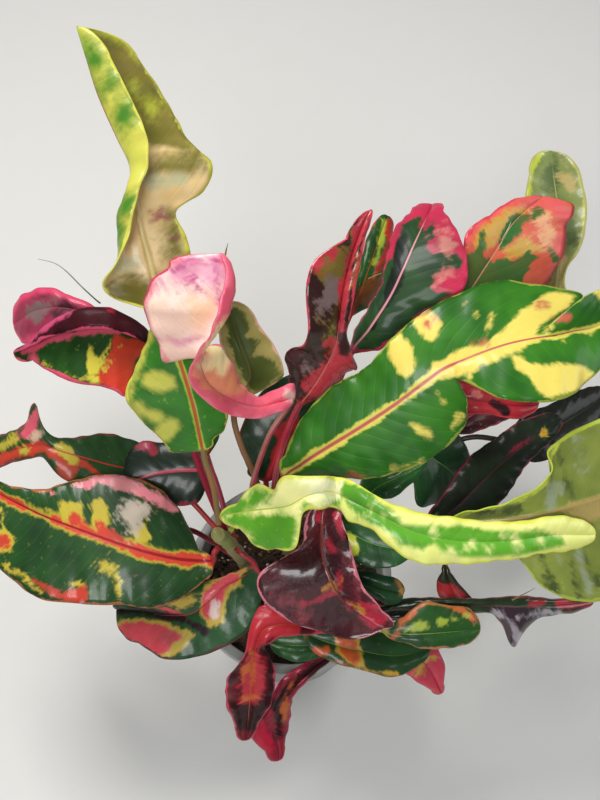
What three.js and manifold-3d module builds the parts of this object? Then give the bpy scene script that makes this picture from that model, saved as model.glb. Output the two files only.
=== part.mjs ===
// Potted croton: a nursery pot, its soil, four woody stems and their leaves.
// Millimetres, +Z up. The pot stands on the origin, and +Y points away from the viewer.

import * as THREE from 'three';
import Module from 'manifold-3d';

const wasm = await Module();
wasm.setup();
const { Manifold } = wasm;

// Pot
const POT_HEIGHT = 105;
const BASE_RADIUS = 44;
const LIP_RADIUS = 65;
const LIP_WIDTH = 6;
const LIP_DEPTH = 9;
const LIP_TAPER = 0.6;
const EDGE_ROUND = 1;
const INNER_ROUND = 0.8;
const POT_WALL = 1.8;
const POT_FLOOR = 2.5;
const POT_SIDES = 56;
const DRAIN_COUNT = 4;
const DRAIN_RADIUS = 4;
const DRAIN_CIRCLE = 26;
const DRAIN_SIDES = 20;

// Soil
const SOIL_DROP = 13;
const SOIL_LUMP = 1.2;
const SOIL_RINGS = 5;
const SOIL_SIDES = 28;
const TOUCH_GAP = 0.3;

// Stems
const STEM_RADIUS = 4.2;
const STEM_FOOT_RADIUS = 4.6;
const STEM_FOOT = 34;
const STEM_SIDES = 12;
const STEM_STEPS = 10;
const BUD_LENGTH = 7;
const BUD_SHAPE = [[0.25, 0.72], [0.6, 0.5], [1, 0.12]];
const SCAR_SWELL = 0.25;

// Leaves
const PETIOLE_HALF_WIDTH = 1.6;
const PETIOLE_THICK = 3;
const PETIOLE_FLATTENING = 0.9;
const SHOULDER_OUT = 5;
const SHOULDER_UP = 3.5;
const BLADE_THICK = 1;
const RIB_EXTRA = 1.1;
const RIB_SHARE_ABOVE = 0.2;
const ROOT_GAP = 0.98;
const ROW_PITCH = 9.4;
const PETIOLE_PITCH = 15;
const TIP_HALF_WIDTH = 0.3;
const ACROSS = [-1, -0.5, 0, 0.5, 1];

// How the plant is looked down on. A leaf's points are given as they are seen from there:
// sideways and downwards in picture units, and then their height in millimetres towards
// the viewer, measured from the level of the pot's rim.
const VIEW = {
  elevation: THREE.MathUtils.degToRad(60),
  distance: 650,
  focal: 1016,
  centre: [300, 400],
  rimCentre: [290, 572],
};
const RIGHTWARDS = new THREE.Vector3(1, 0, 0);
const UPWARDS = new THREE.Vector3(0, Math.sin(VIEW.elevation), Math.cos(VIEW.elevation));
const TOWARDS_VIEWER = new THREE.Vector3(0, -Math.cos(VIEW.elevation), Math.sin(VIEW.elevation));

function seenPoint([across, down, near]) {
  const rimScale = VIEW.distance / VIEW.focal;
  const scale = (VIEW.distance - near) / VIEW.focal;
  const [centreAcross, centreDown] = VIEW.centre;
  const [rimAcross, rimDown] = VIEW.rimCentre;
  return new THREE.Vector3(0, 0, POT_HEIGHT)
    .addScaledVector(RIGHTWARDS, (centreAcross - rimAcross) * rimScale + (across - centreAcross) * scale)
    .addScaledVector(UPWARDS, (rimDown - centreDown) * rimScale + (centreDown - down) * scale)
    .addScaledVector(TOWARDS_VIEWER, near);
}

// Each stem's centre line above the soil, from its foot to its top.
const stems = {
  left: [[-22, -2, 80], [-26, -3, 120], [-33, -7, 165], [-39, -13, 199]],
  middle: [[4, 8, 80], [0, 8, 120], [-9, 6, 160], [-15, 4, 193]],
  right: [[14, -14, 80], [17, -15, 115], [19, -15, 150], [19, -14, 168]],
  back: [[30, 22, 80], [42, 34, 120], [56, 48, 152], [66, 58, 174]],
};
const STEM_COLOURS = { left: 0x7d6a4d, middle: 0x6f5a41, right: 0x756047, back: 0x6b5840 };

// Each leaf: the stem that it grows on and how far up, the points of its petiole, the neck
// where the blade starts, the blade's stations and the tip. A station holds the left edge,
// the rib and the right edge. An edge's third number is its height over the rib, and a
// station may end with how far each half bows out between rib and edge, left and right.
// A pose turns and bends the whole blade along the line of sight: lift raises the tip and
// arch lowers it again in a curve, both in millimetres, level brings the halves towards the
// horizontal, and turn raises the right half by its share of the way sideways.
const PLAIN_BOW = 1.5;
const LEVEL_SLOPE = Math.tan(Math.PI / 2 - VIEW.elevation);
const leaves = {
  spire: {
    stem: 'left', height: 1, colour: 0xa3a552,
    petiole: [[213, 486, 100], [206, 464, 106]],
    pose: { lift: 20, arch: 40 },
    neck: [203, 450, 110],
    blade: [
      [[168, 447, -4], [200, 436, 114], [213, 440, -4]],
      [[127, 400, 0], [194, 408, 124], [227, 420, -10]],
      [[136, 368, -4], [184, 374, 134], [222, 388, -14]],
      [[150, 333, -14], [172, 340, 144], [191, 347, -12]],
      [[163, 314, -13], [160, 320, 148], [187, 323, 9]],
      [[184, 294, -8], [158, 299, 152], [128, 304, 8]],
      [[191, 264, -6], [152, 270, 158], [104, 287, 10], 0, 4],
      [[187, 238, -4], [143, 236, 162], [124, 247, 12], 0, 9],
      [[176, 211, -6], [138, 212, 166], [134, 215, 12], 0, 9],
      [[203, 192, -8], [134, 190, 170], [139, 190, 12], 0, 5],
      [[212, 165, -8], [129, 164, 173], [148, 164, 10], 0, 2],
      [[187, 138, -14], [116, 136, 176], [147, 136, 9]],
      [[166, 100, -20], [98, 95, 180], [131, 98, 6]],
      [[138, 58, -15], [86, 57, 184], [111, 58, 4]],
    ],
    tip: [77, 27, 188],
  },
  scoop: {
    stem: 'middle', height: 1, colour: 0xdca796,
    petiole: [[252, 488, 98], [269, 436, 108]],
    pose: { lift: 10 },
    neck: [291, 402, 112],
    blade: [
      [[280, 412, 6], [280, 402, 119], [290, 384, -4]],
      [[256, 419, 8], [256, 407, 130], [257, 396, -8]],
      [[222, 412, 8], [228, 398, 145], [241, 383, -10]],
      [[195, 391, 8], [209, 384, 158], [231, 363, -12]],
      [[189, 376, 8], [201, 368, 168], [215, 344, -14]],
      [[197, 355, 12], [200, 355, 174], [168, 364, -12]],
      [[208, 337, 14], [210, 338, 178], [158, 341, -8]],
      [[218, 312, 14], [222, 312, 181], [144, 309, -8], 4, -4],
      [[223, 290, 12], [229, 288, 183], [151, 282, -8], 4, -4],
      [[226, 270, 8], [230, 270, 184], [169, 267, -4], 2, -2],
    ],
    tip: [222, 254, 184],
  },
  olive_back: {
    stem: 'middle', height: 0.86, colour: 0x6f7034,
    petiole: [[252, 470, 84], [242, 448, 89], [234, 420, 92]],
    pose: { turn: -0.3, arch: 10 },
    neck: [237, 400, 94],
    blade: [
      [[284, 374, -2], [250, 376, 96], [230, 380, 0]],
      [[275, 347, -2], [243, 352, 100], [222, 352, 0]],
      [[258, 323, -2], [235, 330, 104], [218, 330, 0]],
    ],
    tip: [228, 302, 106],
  },
  boat: {
    stem: 'left', height: 0.8, colour: 0x4f6b2c,
    petiole: [[200, 470, 86], [176, 400, 98]],
    pose: { level: 0.5, lift: -10, arch: 20 },
    neck: [150, 352, 106],
    blade: [
      [[122, 396, -5], [128, 332, 114], [140, 340, 8], 0, -7],
      [[103, 387, -6], [105, 324, 120], [110, 330, 12], 0, -10],
      [[75, 383, -5], [80, 323, 124], [80, 330, 12], 0, -9],
      [[52, 373, -4], [55, 333, 126], [50, 337, 9], 0, -6],
      [[33, 360, -2], [32, 346, 127], [29, 347, 5], 0, -2],
    ],
    tip: [14, 353, 126],
  },
  ear: {
    stem: 'left', height: 0.71, colour: 0x7a3a4c,
    petiole: [[190, 440, 78], [150, 380, 92]],
    pose: { level: 0.4, lift: -10, arch: 20 },
    neck: [105, 322, 100],
    blade: [
      [[78, 332, 0], [75, 310, 104], [74, 298, 0]],
      [[55, 337, 0], [50, 308, 106], [50, 288, 0]],
      [[34, 342, 0], [30, 313, 107], [25, 293, 0]],
    ],
    tip: [14, 325, 107],
  },
  ribbon: {
    stem: 'left', height: 0.86, colour: 0xa3b84a,
    pose: { level: 0.3, lift: 25, arch: 60 },
    neck: [222, 517, 98],
    blade: [
      [[238, 503, 0], [237, 513, 106], [240, 528, -2]],
      [[257, 484, 2], [256, 510, 112], [260, 548, -6]],
      [[274, 489, 4], [274, 508, 118], [275, 549, -6]],
      [[284, 476, 8], [290, 505, 124], [296, 547, -4]],
      [[304, 476, 6], [306, 496, 129], [303, 514, -2]],
      [[324, 476, 4], [322, 492, 132], [322, 508, -4]],
      [[335, 477, 4], [335, 492, 126], [336, 508, -2]],
      [[350, 480, 3], [350, 500, 134], [349, 520, -3]],
      [[384, 500, 2], [378, 514, 142], [372, 530, -3]],
      [[418, 512, 0], [414, 532, 148], [410, 560, -3]],
      [[458, 518, 0], [456, 541, 151], [452, 564, -3]],
      [[508, 522, 0], [506, 541, 152], [505, 560, -3]],
      [[556, 516, 0], [552, 535, 150], [553, 552, -3]],
    ],
    tip: [595, 535, 146],
  },
  broad_green: {
    stem: 'middle', height: 0.83, colour: 0x4f8032,
    pose: { level: 0.5, lift: 30, arch: 60 },
    neck: [284, 478, 92],
    blade: [
      [[285, 455, 2], [300, 465, 98], [315, 474, -3]],
      [[303, 417, 2], [325, 449, 104], [352, 479, -6]],
      [[332, 387, 2], [356, 430, 111], [392, 474, -10]],
      [[368, 366, 0], [390, 408, 118], [432, 458, -12]],
      [[392, 338, 2], [420, 386, 124], [463, 428, -12]],
      [[428, 310, 0], [443, 369, 128], [467, 402, -10]],
      [[462, 292, -2], [462, 361, 131], [455, 379, -4]],
      [[500, 281, -6], [484, 352, 134], [478, 388, 0]],
      [[540, 285, -10], [508, 344, 137], [502, 399, 2]],
      [[582, 297, -14], [530, 339, 140], [532, 402, 3]],
      [[548, 326, 2], [550, 336, 143], [555, 401, 3]],
      [[582, 298, 8], [574, 331, 145], [575, 393, 2]],
      [[608, 285, 6], [600, 325, 146], [600, 370, 0]],
    ],
    tip: [652, 300, 146],
  },
  olive_right: {
    stem: 'right', height: 0.78, colour: 0x8a8a48,
    petiole: [[352, 540, 58], [405, 528, 78]],
    pose: { level: -0.3, arch: 25 },
    neck: [445, 524, 98],
    blade: [
      [[488, 540, -4], [477, 523, 106], [476, 510, 2]],
      [[519, 559, -6], [512, 520, 112], [515, 500, 4]],
      [[540, 585, -8], [540, 514, 117], [550, 474, 8]],
      [[572, 600, -10], [570, 506, 121], [552, 446, 6]],
      [[612, 597, -8], [606, 495, 123], [602, 418, 2]],
      [[642, 560, -4], [640, 482, 124], [640, 425, 0]],
    ],
    tip: [672, 470, 122],
  },
  olive_far: {
    stem: 'back', height: 0.87, colour: 0x93935a,
    petiole: [[440, 400, 46], [490, 370, 46]],
    pose: { turn: 0.3, lift: 10, arch: 50 },
    neck: [535, 338, 48],
    blade: [
      [[566, 300, 0], [552, 304, 50], [538, 306, 0]],
      [[565, 274, 0], [557, 274, 53], [542, 276, 0]],
      [[582, 243, -3], [560, 245, 52], [530, 240, -3]],
      [[587, 208, -3], [558, 208, 52], [525, 203, -3]],
      [[582, 179, -3], [554, 180, 53], [529, 174, -3]],
    ],
    tip: [551, 151, 53],
  },
  coral: {
    stem: 'back', height: 0.96, colour: 0xc9604f,
    petiole: [[402, 400, 40]],
    pose: { turn: -0.35, lift: 20, arch: 48 },
    neck: [430, 350, 56],
    blade: [
      [[452, 296, 0], [460, 306, 70], [488, 318, -4]],
      [[462, 258, 0], [480, 275, 76], [535, 295, -6]],
      [[467, 232, 0], [497, 249, 81], [562, 255, -4]],
      [[490, 215, 0], [514, 222, 85], [568, 222, -2]],
    ],
    tip: [542, 197, 88],
  },
  crimson_edge: {
    stem: 'middle', height: 0.62, colour: 0x46502f,
    petiole: [[290, 460, 42], [330, 400, 51]],
    pose: { turn: 0.35, lift: 30, arch: 70 },
    neck: [352, 352, 74],
    blade: [
      [[362, 318, -4], [370, 328, 88], [386, 344, -4]],
      [[380, 288, -6], [390, 297, 92], [425, 311, -5]],
      [[386, 262, -7], [402, 272, 96], [462, 291, -5]],
      [[391, 238, -6], [413, 247, 98], [467, 262, -3]],
      [[401, 221, -4], [421, 230, 100], [456, 229, -2]],
      [[412, 211, -2], [427, 217, 101], [443, 211, -1]],
    ],
    tip: [432, 205, 101],
  },
  narrow: {
    stem: 'middle', height: 0.68, colour: 0x6b7a35,
    petiole: [[285, 440, 46], [325, 370, 53]],
    pose: { turn: -0.5, lift: 20, arch: 40 },
    neck: [350, 315, 60],
    blade: [
      [[354, 288, -4], [360, 292, 69], [372, 302, -5]],
      [[361, 262, -4], [368, 270, 72], [384, 276, -4]],
      [[367, 238, -3], [376, 246, 74], [390, 248, -3]],
    ],
    tip: [387, 216, 76],
  },
  bronze: {
    stem: 'middle', height: 0.9, colour: 0x54222a,
    petiole: [[278, 462, 80], [289, 428, 91]],
    pose: { turn: -0.2, lift: 30, arch: 20 },
    neck: [300, 404, 98],
    blade: [
      [[290, 375, 0], [310, 392, 102], [326, 392, -3]],
      [[286, 353, 3], [324, 370, 107], [348, 372, -6]],
      [[304, 344, 6], [335, 347, 112], [356, 366, -10]],
      [[308, 322, 8], [339, 322, 116], [347, 334, -3]],
      [[306, 290, 8], [342, 297, 119], [353, 302, 2]],
      [[314, 261, 7], [348, 270, 122], [360, 264, 4]],
      [[345, 239, 3], [357, 240, 124], [367, 232, 3]],
    ],
    tip: [369, 211, 125],
  },
  red_rib: {
    stem: 'middle', height: 0.76, colour: 0x2f4a26,
    pose: { level: 0.3 },
    neck: [266, 481, 60],
    blade: [
      [[248, 468, -2], [273, 460, 66], [292, 466, -3]],
      [[239, 438, -2], [283, 436, 70], [314, 440, -5]],
      [[252, 405, -3], [295, 410, 73], [328, 412, -6]],
    ],
    tip: [316, 372, 74],
  },
  dark_under: {
    stem: 'back', height: 0.66, colour: 0x25301f,
    pose: { level: 0.5, arch: 20 },
    neck: [414, 457, 35],
    blade: [
      [[434, 422, 0], [424, 453, 38], [414, 484, 0]],
      [[456, 432, 0], [438, 462, 40], [418, 506, 0]],
      [[470, 455, 0], [451, 472, 40], [440, 504, -2]],
    ],
    tip: [468, 492, 37],
  },
  mid_green: {
    stem: 'right', height: 0.7, colour: 0x33552a,
    pose: { level: 0.5 },
    neck: [348, 524, 56],
    blade: [
      [[372, 462, 0], [372, 492, 68], [372, 500, -2]],
      [[405, 455, 0], [396, 478, 72], [392, 498, -3]],
    ],
    tip: [426, 462, 73],
  },
  pink_rib_dark: {
    stem: 'right', height: 0.5, colour: 0x2c1c20,
    petiole: [[370, 545, 42]],
    pose: { level: 0.6, arch: 20 },
    neck: [420, 532, 44],
    blade: [
      [[438, 502, 0], [455, 508, 48], [480, 520, -2]],
      [[465, 462, 0], [482, 482, 50], [509, 492, -3]],
      [[500, 435, 0], [512, 455, 51], [528, 462, -3]],
    ],
    tip: [560, 418, 50],
  },
  spotted_dark: {
    stem: 'back', height: 0.56, colour: 0x1f201b,
    petiole: [[460, 440, 20]],
    pose: { level: 0.6, arch: 25 },
    neck: [505, 440, 22],
    blade: [
      [[530, 412, 0], [535, 436, 24], [538, 462, -2]],
      [[562, 398, 0], [562, 424, 26], [572, 450, -2]],
    ],
    tip: [606, 396, 26],
  },
  red_under: {
    stem: 'back', height: 1, colour: 0x8f2b30,
    pose: { level: 0.5, arch: 10 },
    neck: [420, 400, 62],
    blade: [
      [[458, 380, 0], [455, 399, 70], [456, 416, -2]],
      [[495, 386, 0], [490, 402, 74], [488, 414, -2]],
      [[520, 396, 0], [515, 406, 76], [513, 419, -2]],
    ],
    tip: [538, 405, 76],
  },
  broad_left: {
    stem: 'left', height: 0.84, colour: 0x3f6b35,
    pose: { level: 0.7, lift: 10, arch: 50 },
    neck: [214, 560, 71],
    blade: [
      [[205, 580, -3], [204, 561, 68], [196, 549, -3]],
      [[175, 601, -8], [178, 559, 73], [179, 510, -4]],
      [[150, 608, -10], [150, 553, 78], [159, 489, 0]],
      [[126, 605, -10], [123, 545, 82], [131, 477, 2]],
      [[100, 605, -8], [100, 537, 85], [100, 475, 2]],
      [[72, 603, -8], [70, 526, 87], [72, 481, 2]],
      [[38, 598, -6], [42, 515, 88], [44, 489, 3]],
      [[8, 576, -5], [14, 501, 88], [10, 486, 3]],
    ],
    tip: [-26, 480, 86],
  },
  spiked: {
    stem: 'left', height: 0.56, colour: 0x5d4b33,
    petiole: [[190, 500, 38]],
    pose: { level: 0.5, arch: 30 },
    neck: [160, 476, 38],
    blade: [
      [[138, 488, -2], [135, 470, 42], [136, 441, 0]],
      [[112, 488, -3], [110, 465, 48], [109, 434, 0]],
      [[88, 486, -4], [85, 458, 55], [84, 436, 0]],
      [[62, 478, -4], [60, 451, 60], [58, 438, 0]],
      [[48, 462, -2], [50, 447, 62], [43, 428, 3]],
      [[40, 457, -2], [42, 446, 63], [35, 403, 6]],
      [[28, 459, -2], [30, 447, 63], [25, 423, 3]],
      [[14, 462, -2], [15, 450, 63], [12, 431, 2]],
      [[0, 468, -2], [0, 455, 62], [0, 436, 2]],
    ],
    tip: [-18, 462, 60],
  },
  pink_rib: {
    stem: 'left', height: 0.6, colour: 0x2f4a2c,
    pose: { level: 0.2 },
    neck: [212, 472, 48],
    blade: [
      [[195, 504, -3], [195, 470, 50], [193, 446, -3]],
      [[172, 506, -5], [172, 471, 51], [165, 443, -4]],
      [[150, 500, -5], [150, 475, 52], [143, 441, -3]],
    ],
    tip: [124, 486, 52],
  },
  split_tip: {
    stem: 'left', height: 0.72, colour: 0x40572f,
    pose: { level: 0.7, arch: 25 },
    neck: [255, 565, 64],
    blade: [
      [[262, 598, -3], [242, 577, 58], [226, 576, -2]],
      [[250, 628, -5], [222, 588, 56], [203, 582, -3]],
      [[228, 645, -6], [207, 603, 58], [185, 583, -2]],
      [[200, 656, -5], [190, 614, 58], [160, 587, 2]],
      [[165, 659, -3], [166, 615, 58], [140, 596, 4]],
      [[138, 643, -2], [142, 611, 58], [128, 603, 3]],
    ],
    tip: [117, 609, 57],
  },
  maroon_hood: {
    stem: 'right', height: 1, colour: 0x6a2c33,
    pose: { level: 0.3 },
    neck: [324, 505, 102],
    blade: [
      [[304, 526, -2], [322, 528, 108], [342, 519, -2]],
      [[300, 547, -4], [322, 550, 112], [350, 545, -2]],
      [[260, 573, -4], [327, 571, 115], [357, 570, -3]],
      [[263, 600, -6], [335, 589, 115], [364, 588, -4]],
      [[292, 622, -8], [345, 603, 113], [377, 603, -4]],
      [[332, 635, -6], [359, 614, 110], [386, 614, -3]],
    ],
    tip: [382, 629, 106],
  },
  red_fall: {
    stem: 'right', height: 0.74, colour: 0x8c2338,
    petiole: [[335, 615, 72]],
    pose: { turn: 0.3 },
    neck: [345, 628, 72],
    blade: [
      [[318, 633, 0], [315, 628, 77], [308, 620, 0]],
      [[283, 637, 0], [285, 624, 81], [284, 610, 0]],
      [[266, 645, 0], [264, 630, 82], [258, 608, 0]],
      [[266, 648, -4], [255, 650, 80], [244, 655, 0]],
      [[275, 672, -4], [252, 675, 74], [228, 678, -4]],
      [[272, 700, -3], [250, 700, 68], [226, 700, -3]],
      [[259, 722, -2], [248, 722, 63], [235, 724, -2]],
    ],
    tip: [245, 740, 60],
  },
  red_drop: {
    stem: 'right', height: 0.42, colour: 0xa52c44,
    petiole: [[335, 630, 42]],
    pose: { turn: -0.3 },
    neck: [335, 650, 44],
    blade: [
      [[315, 673, 0], [312, 668, 48], [306, 662, 0]],
      [[298, 690, 0], [292, 687, 49], [281, 680, 0]],
      [[291, 703, -2], [280, 706, 47], [265, 712, -2]],
      [[289, 724, -2], [273, 727, 43], [249, 732, -2]],
      [[284, 744, -1], [277, 745, 40], [265, 751, -1]],
    ],
    tip: [279, 760, 38],
  },
  small_front: {
    stem: 'right', height: 0.5, colour: 0x3d5a2e,
    petiole: [[350, 612, 44]],
    pose: { level: 0.6 },
    neck: [343, 634, 50],
    blade: [
      [[321, 657, 0], [317, 643, 54], [319, 629, 0]],
      [[300, 662, 0], [300, 646, 55], [300, 628, 0]],
    ],
    tip: [270, 643, 53],
  },
  orange_patch: {
    stem: 'right', height: 0.64, colour: 0x5f5a30,
    pose: { level: 0.7, arch: 12 },
    neck: [305, 628, 64],
    blade: [
      [[342, 626, 0], [335, 645, 68], [328, 660, 0]],
      [[372, 630, 0], [366, 652, 70], [362, 670, 0]],
      [[400, 636, 0], [396, 656, 70], [392, 677, 0]],
    ],
    tip: [430, 650, 68],
  },
  red_tip: {
    stem: 'right', height: 0.36, colour: 0xb23a44,
    petiole: [[370, 615, 34]],
    pose: { level: 0.4, arch: 8 },
    neck: [393, 635, 36],
    blade: [
      [[436, 645, 0], [417, 656, 38], [403, 671, 0]],
      [[444, 664, 0], [429, 669, 38], [413, 679, 0]],
      [[443, 683, 0], [437, 684, 37], [431, 689, 0]],
    ],
    tip: [441, 693, 36],
  },
  dotted: {
    stem: 'right', height: 0.66, colour: 0x42582c,
    petiole: [[358, 606, 68]],
    pose: { level: 0.5, arch: 8 },
    neck: [385, 631, 79],
    blade: [
      [[404, 617, 0], [403, 634, 83], [404, 642, -1]],
      [[424, 602, 0], [423, 634, 86], [424, 648, -3]],
      [[452, 606, 0], [450, 632, 87], [450, 648, -3]],
    ],
    tip: [480, 629, 86],
  },
  long_dark: {
    stem: 'right', height: 0.6, colour: 0x4a3a34,
    petiole: [[360, 596, 55]],
    pose: { level: 0.5, lift: 10, arch: 30 },
    neck: [375, 612, 62],
    blade: [
      [[405, 598, 0], [402, 610, 66], [402, 620, 0]],
      [[440, 598, 0], [440, 606, 69], [442, 614, 0]],
      [[480, 599, 0], [480, 606, 71], [487, 613, -2]],
      [[499, 597, 0], [500, 606, 72], [501, 622, -6]],
      [[517, 596, 0], [516, 607, 72], [514, 647, -10]],
      [[533, 597, 0], [533, 606, 72], [532, 621, -6]],
      [[558, 599, 0], [558, 605, 72], [559, 614, -3]],
    ],
    tip: [593, 602, 71],
  },
  little_peak: {
    stem: 'right', height: 0.53, colour: 0x7c3a35,
    petiole: [[400, 610, 50]],
    pose: { turn: 0.2 },
    neck: [458, 606, 56],
    blade: [
      [[439, 597, 0], [455, 597, 60], [475, 601, 0]],
      [[437, 584, 0], [449, 584, 62], [461, 586, 0]],
      [[442, 572, 0], [446, 572, 63], [450, 573, 0]],
    ],
    tip: [445, 564, 63],
  },
  little_green: {
    stem: 'right', height: 0.87, colour: 0x47662f,
    pose: { level: 0.5 },
    neck: [350, 575, 78],
    blade: [
      [[372, 572, 0], [368, 583, 81], [370, 594, 0]],
      [[393, 578, 0], [386, 589, 82], [385, 604, 0]],
    ],
    tip: [403, 594, 82],
  },
  yellow_spot: {
    stem: 'right', height: 0.92, colour: 0x2f4a24,
    pose: { level: 0.6 },
    neck: [336, 527, 76],
    blade: [
      [[358, 508, 0], [350, 533, 84], [345, 556, 0]],
      [[386, 520, 0], [376, 545, 88], [369, 567, 0]],
    ],
    tip: [412, 552, 90],
  },
  shade_back: {
    stem: 'middle', height: 0.55, colour: 0x33502a,
    petiole: [[300, 470, 12]],
    neck: [322, 450, 12],
    blade: [
      [[332, 425, -2], [345, 436, 12], [352, 452, -2]],
      [[352, 398, -5], [366, 418, 10], [382, 440, -5]],
      [[374, 384, -5], [386, 406, 6], [400, 426, -5]],
    ],
    tip: [406, 390, -2],
  },
  shade_right: {
    stem: 'back', height: 0.5, colour: 0x4a5a2c,
    petiole: [[430, 450, -6]],
    neck: [448, 432, -6],
    blade: [
      [[452, 408, -3], [468, 418, -10], [480, 430, -3]],
      [[478, 380, -5], [496, 398, -20], [514, 416, -5]],
      [[506, 362, -5], [522, 380, -34], [540, 396, -5]],
    ],
    tip: [546, 366, -50],
  },
  shade_far: {
    stem: 'back', height: 0.42, colour: 0x33502a,
    petiole: [[410, 440, -8]],
    neck: [420, 415, -10],
    blade: [
      [[404, 396, -3], [428, 396, -14], [448, 398, -3]],
      [[406, 366, -5], [438, 366, -24], [470, 368, -5]],
      [[420, 334, -4], [448, 334, -40], [478, 336, -4]],
    ],
    tip: [456, 306, -60],
  },
  shade_left: {
    stem: 'left', height: 0.5, colour: 0x33502a,
    petiole: [[215, 480, 26]],
    neck: [207, 455, 26],
    blade: [
      [[184, 440, -3], [200, 432, 26], [218, 428, -2]],
      [[166, 412, -5], [188, 402, 20], [214, 398, -4]],
      [[150, 388, -5], [174, 376, 8], [202, 370, -4]],
    ],
    tip: [160, 350, -8],
  },
  shade_low: {
    stem: 'left', height: 0.42, colour: 0x33502a,
    petiole: [[190, 530, 22]],
    neck: [165, 540, 22],
    blade: [
      [[150, 562, -3], [145, 545, 24], [140, 530, -2]],
      [[120, 566, -5], [116, 548, 20], [112, 530, -3]],
      [[88, 562, -4], [86, 548, 12], [84, 534, -3]],
    ],
    tip: [60, 546, 0],
  },
};

// A smooth curve through points, at any place from 0 to the last point's number.
function smooth(points, place) {
  const last = points.length - 1;
  const index = Math.min(Math.floor(place), last - 1);
  const start = points[index];
  const end = points[index + 1];
  const before = index > 0 ? points[index - 1] : start.clone().multiplyScalar(2).sub(end);
  const after = index + 2 <= last ? points[index + 2] : end.clone().multiplyScalar(2).sub(start);
  const along = place - index;
  const blend = (a, b, c, d) => 0.5 * (2 * b + (c - a) * along
    + (2 * a - 5 * b + 4 * c - d) * along ** 2 + (3 * b - a - 3 * c + d) * along ** 3);
  return new THREE.Vector3(
    blend(before.x, start.x, end.x, after.x),
    blend(before.y, start.y, end.y, after.y),
    blend(before.z, start.z, end.z, after.z),
  );
}

function directionAt(points, place) {
  const nudge = 1e-3;
  const last = points.length - 1;
  const ahead = smooth(points, Math.min(place + nudge, last));
  return ahead.sub(smooth(points, Math.max(place - nudge, 0))).normalize();
}

// A closed body from rings of points that are joined in turn, with a flat end on each side.
// The second half of a ring is split the other way round. It is the under face of a leaf,
// so both faces of a waved blade have their triangles' edges behind each other.
function closedBody(rings) {
  const sides = rings[0].length;
  const positions = rings.flat().flatMap((point) => [point.x, point.y, point.z]);
  const faces = [];
  for (let ring = 0; ring < rings.length - 1; ring += 1) {
    for (let side = 0; side < sides; side += 1) {
      const next = (side + 1) % sides;
      const low = ring * sides;
      const high = low + sides;
      if (side < sides / 2) {
        faces.push(low + side, low + next, high + next, low + side, high + next, high + side);
      } else {
        faces.push(low + side, low + next, high + side, low + next, high + next, high + side);
      }
    }
  }
  const lastRing = (rings.length - 1) * sides;
  for (let side = 1; side < sides - 1; side += 1) {
    faces.push(0, side + 1, side, lastRing, lastRing + side, lastRing + side + 1);
  }
  const geometry = new THREE.BufferGeometry();
  geometry.setAttribute('position', new THREE.Float32BufferAttribute(positions, 3));
  geometry.setIndex(faces);
  return geometry;
}

function manifoldFrom(geometry) {
  return new Manifold(new wasm.Mesh({
    numProp: 3,
    vertProperties: new Float32Array(geometry.attributes.position.array),
    triVerts: new Uint32Array(geometry.index.array),
  }));
}

function geometryFrom(solid) {
  const mesh = solid.getMesh();
  const geometry = new THREE.BufferGeometry();
  geometry.setAttribute('position', new THREE.Float32BufferAttribute(mesh.vertProperties, 3));
  geometry.setIndex(new THREE.Uint32BufferAttribute(mesh.triVerts, 1));
  return geometry;
}

function addPiece(group, name, geometry, colour, roughness) {
  const flat = geometry.toNonIndexed();
  flat.computeVertexNormals();
  const material = new THREE.MeshStandardMaterial({ color: colour, roughness, metalness: 0 });
  const mesh = new THREE.Mesh(flat, material);
  mesh.name = name;
  group.add(mesh);
}

// Pot: a tapered wall with a turned-out lip, a flat floor and drain holes round its middle.
function outerRadiusAt(height) {
  const topRadius = LIP_RADIUS - LIP_WIDTH + POT_WALL;
  return BASE_RADIUS + (topRadius - BASE_RADIUS) * height / POT_HEIGHT;
}

function innerRadiusAt(height) {
  return outerRadiusAt(height) - POT_WALL;
}

function makePot() {
  const lipFoot = POT_HEIGHT - LIP_DEPTH;
  const lipSkirt = LIP_RADIUS - LIP_TAPER;
  const profile = [
    [0, 0],
    [BASE_RADIUS - EDGE_ROUND, 0],
    [BASE_RADIUS, EDGE_ROUND],
    [outerRadiusAt(lipFoot), lipFoot + POT_WALL],
    [lipSkirt - POT_WALL, lipFoot + POT_WALL],
    [lipSkirt - POT_WALL, lipFoot],
    [lipSkirt, lipFoot],
    [LIP_RADIUS, POT_HEIGHT - EDGE_ROUND],
    [LIP_RADIUS - EDGE_ROUND, POT_HEIGHT],
    [innerRadiusAt(POT_HEIGHT) + INNER_ROUND, POT_HEIGHT],
    [innerRadiusAt(POT_HEIGHT), POT_HEIGHT - INNER_ROUND],
    [innerRadiusAt(POT_FLOOR), POT_FLOOR],
    [0, POT_FLOOR],
  ];
  let pot = Manifold.revolve([profile], POT_SIDES);
  for (let hole = 0; hole < DRAIN_COUNT; hole += 1) {
    const turn = (hole + 0.5) * 2 * Math.PI / DRAIN_COUNT;
    const cutter = Manifold.cylinder(3 * POT_FLOOR, DRAIN_RADIUS, DRAIN_RADIUS, DRAIN_SIDES)
      .translate([DRAIN_CIRCLE * Math.cos(turn), DRAIN_CIRCLE * Math.sin(turn), -POT_FLOOR]);
    pot = pot.subtract(cutter);
  }
  return geometryFrom(pot);
}

// Stems: below the soil each one goes straight down, and on top it ends in a small bud.
function stemLine(name) {
  return stems[name].map((point) => new THREE.Vector3(...point));
}

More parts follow.
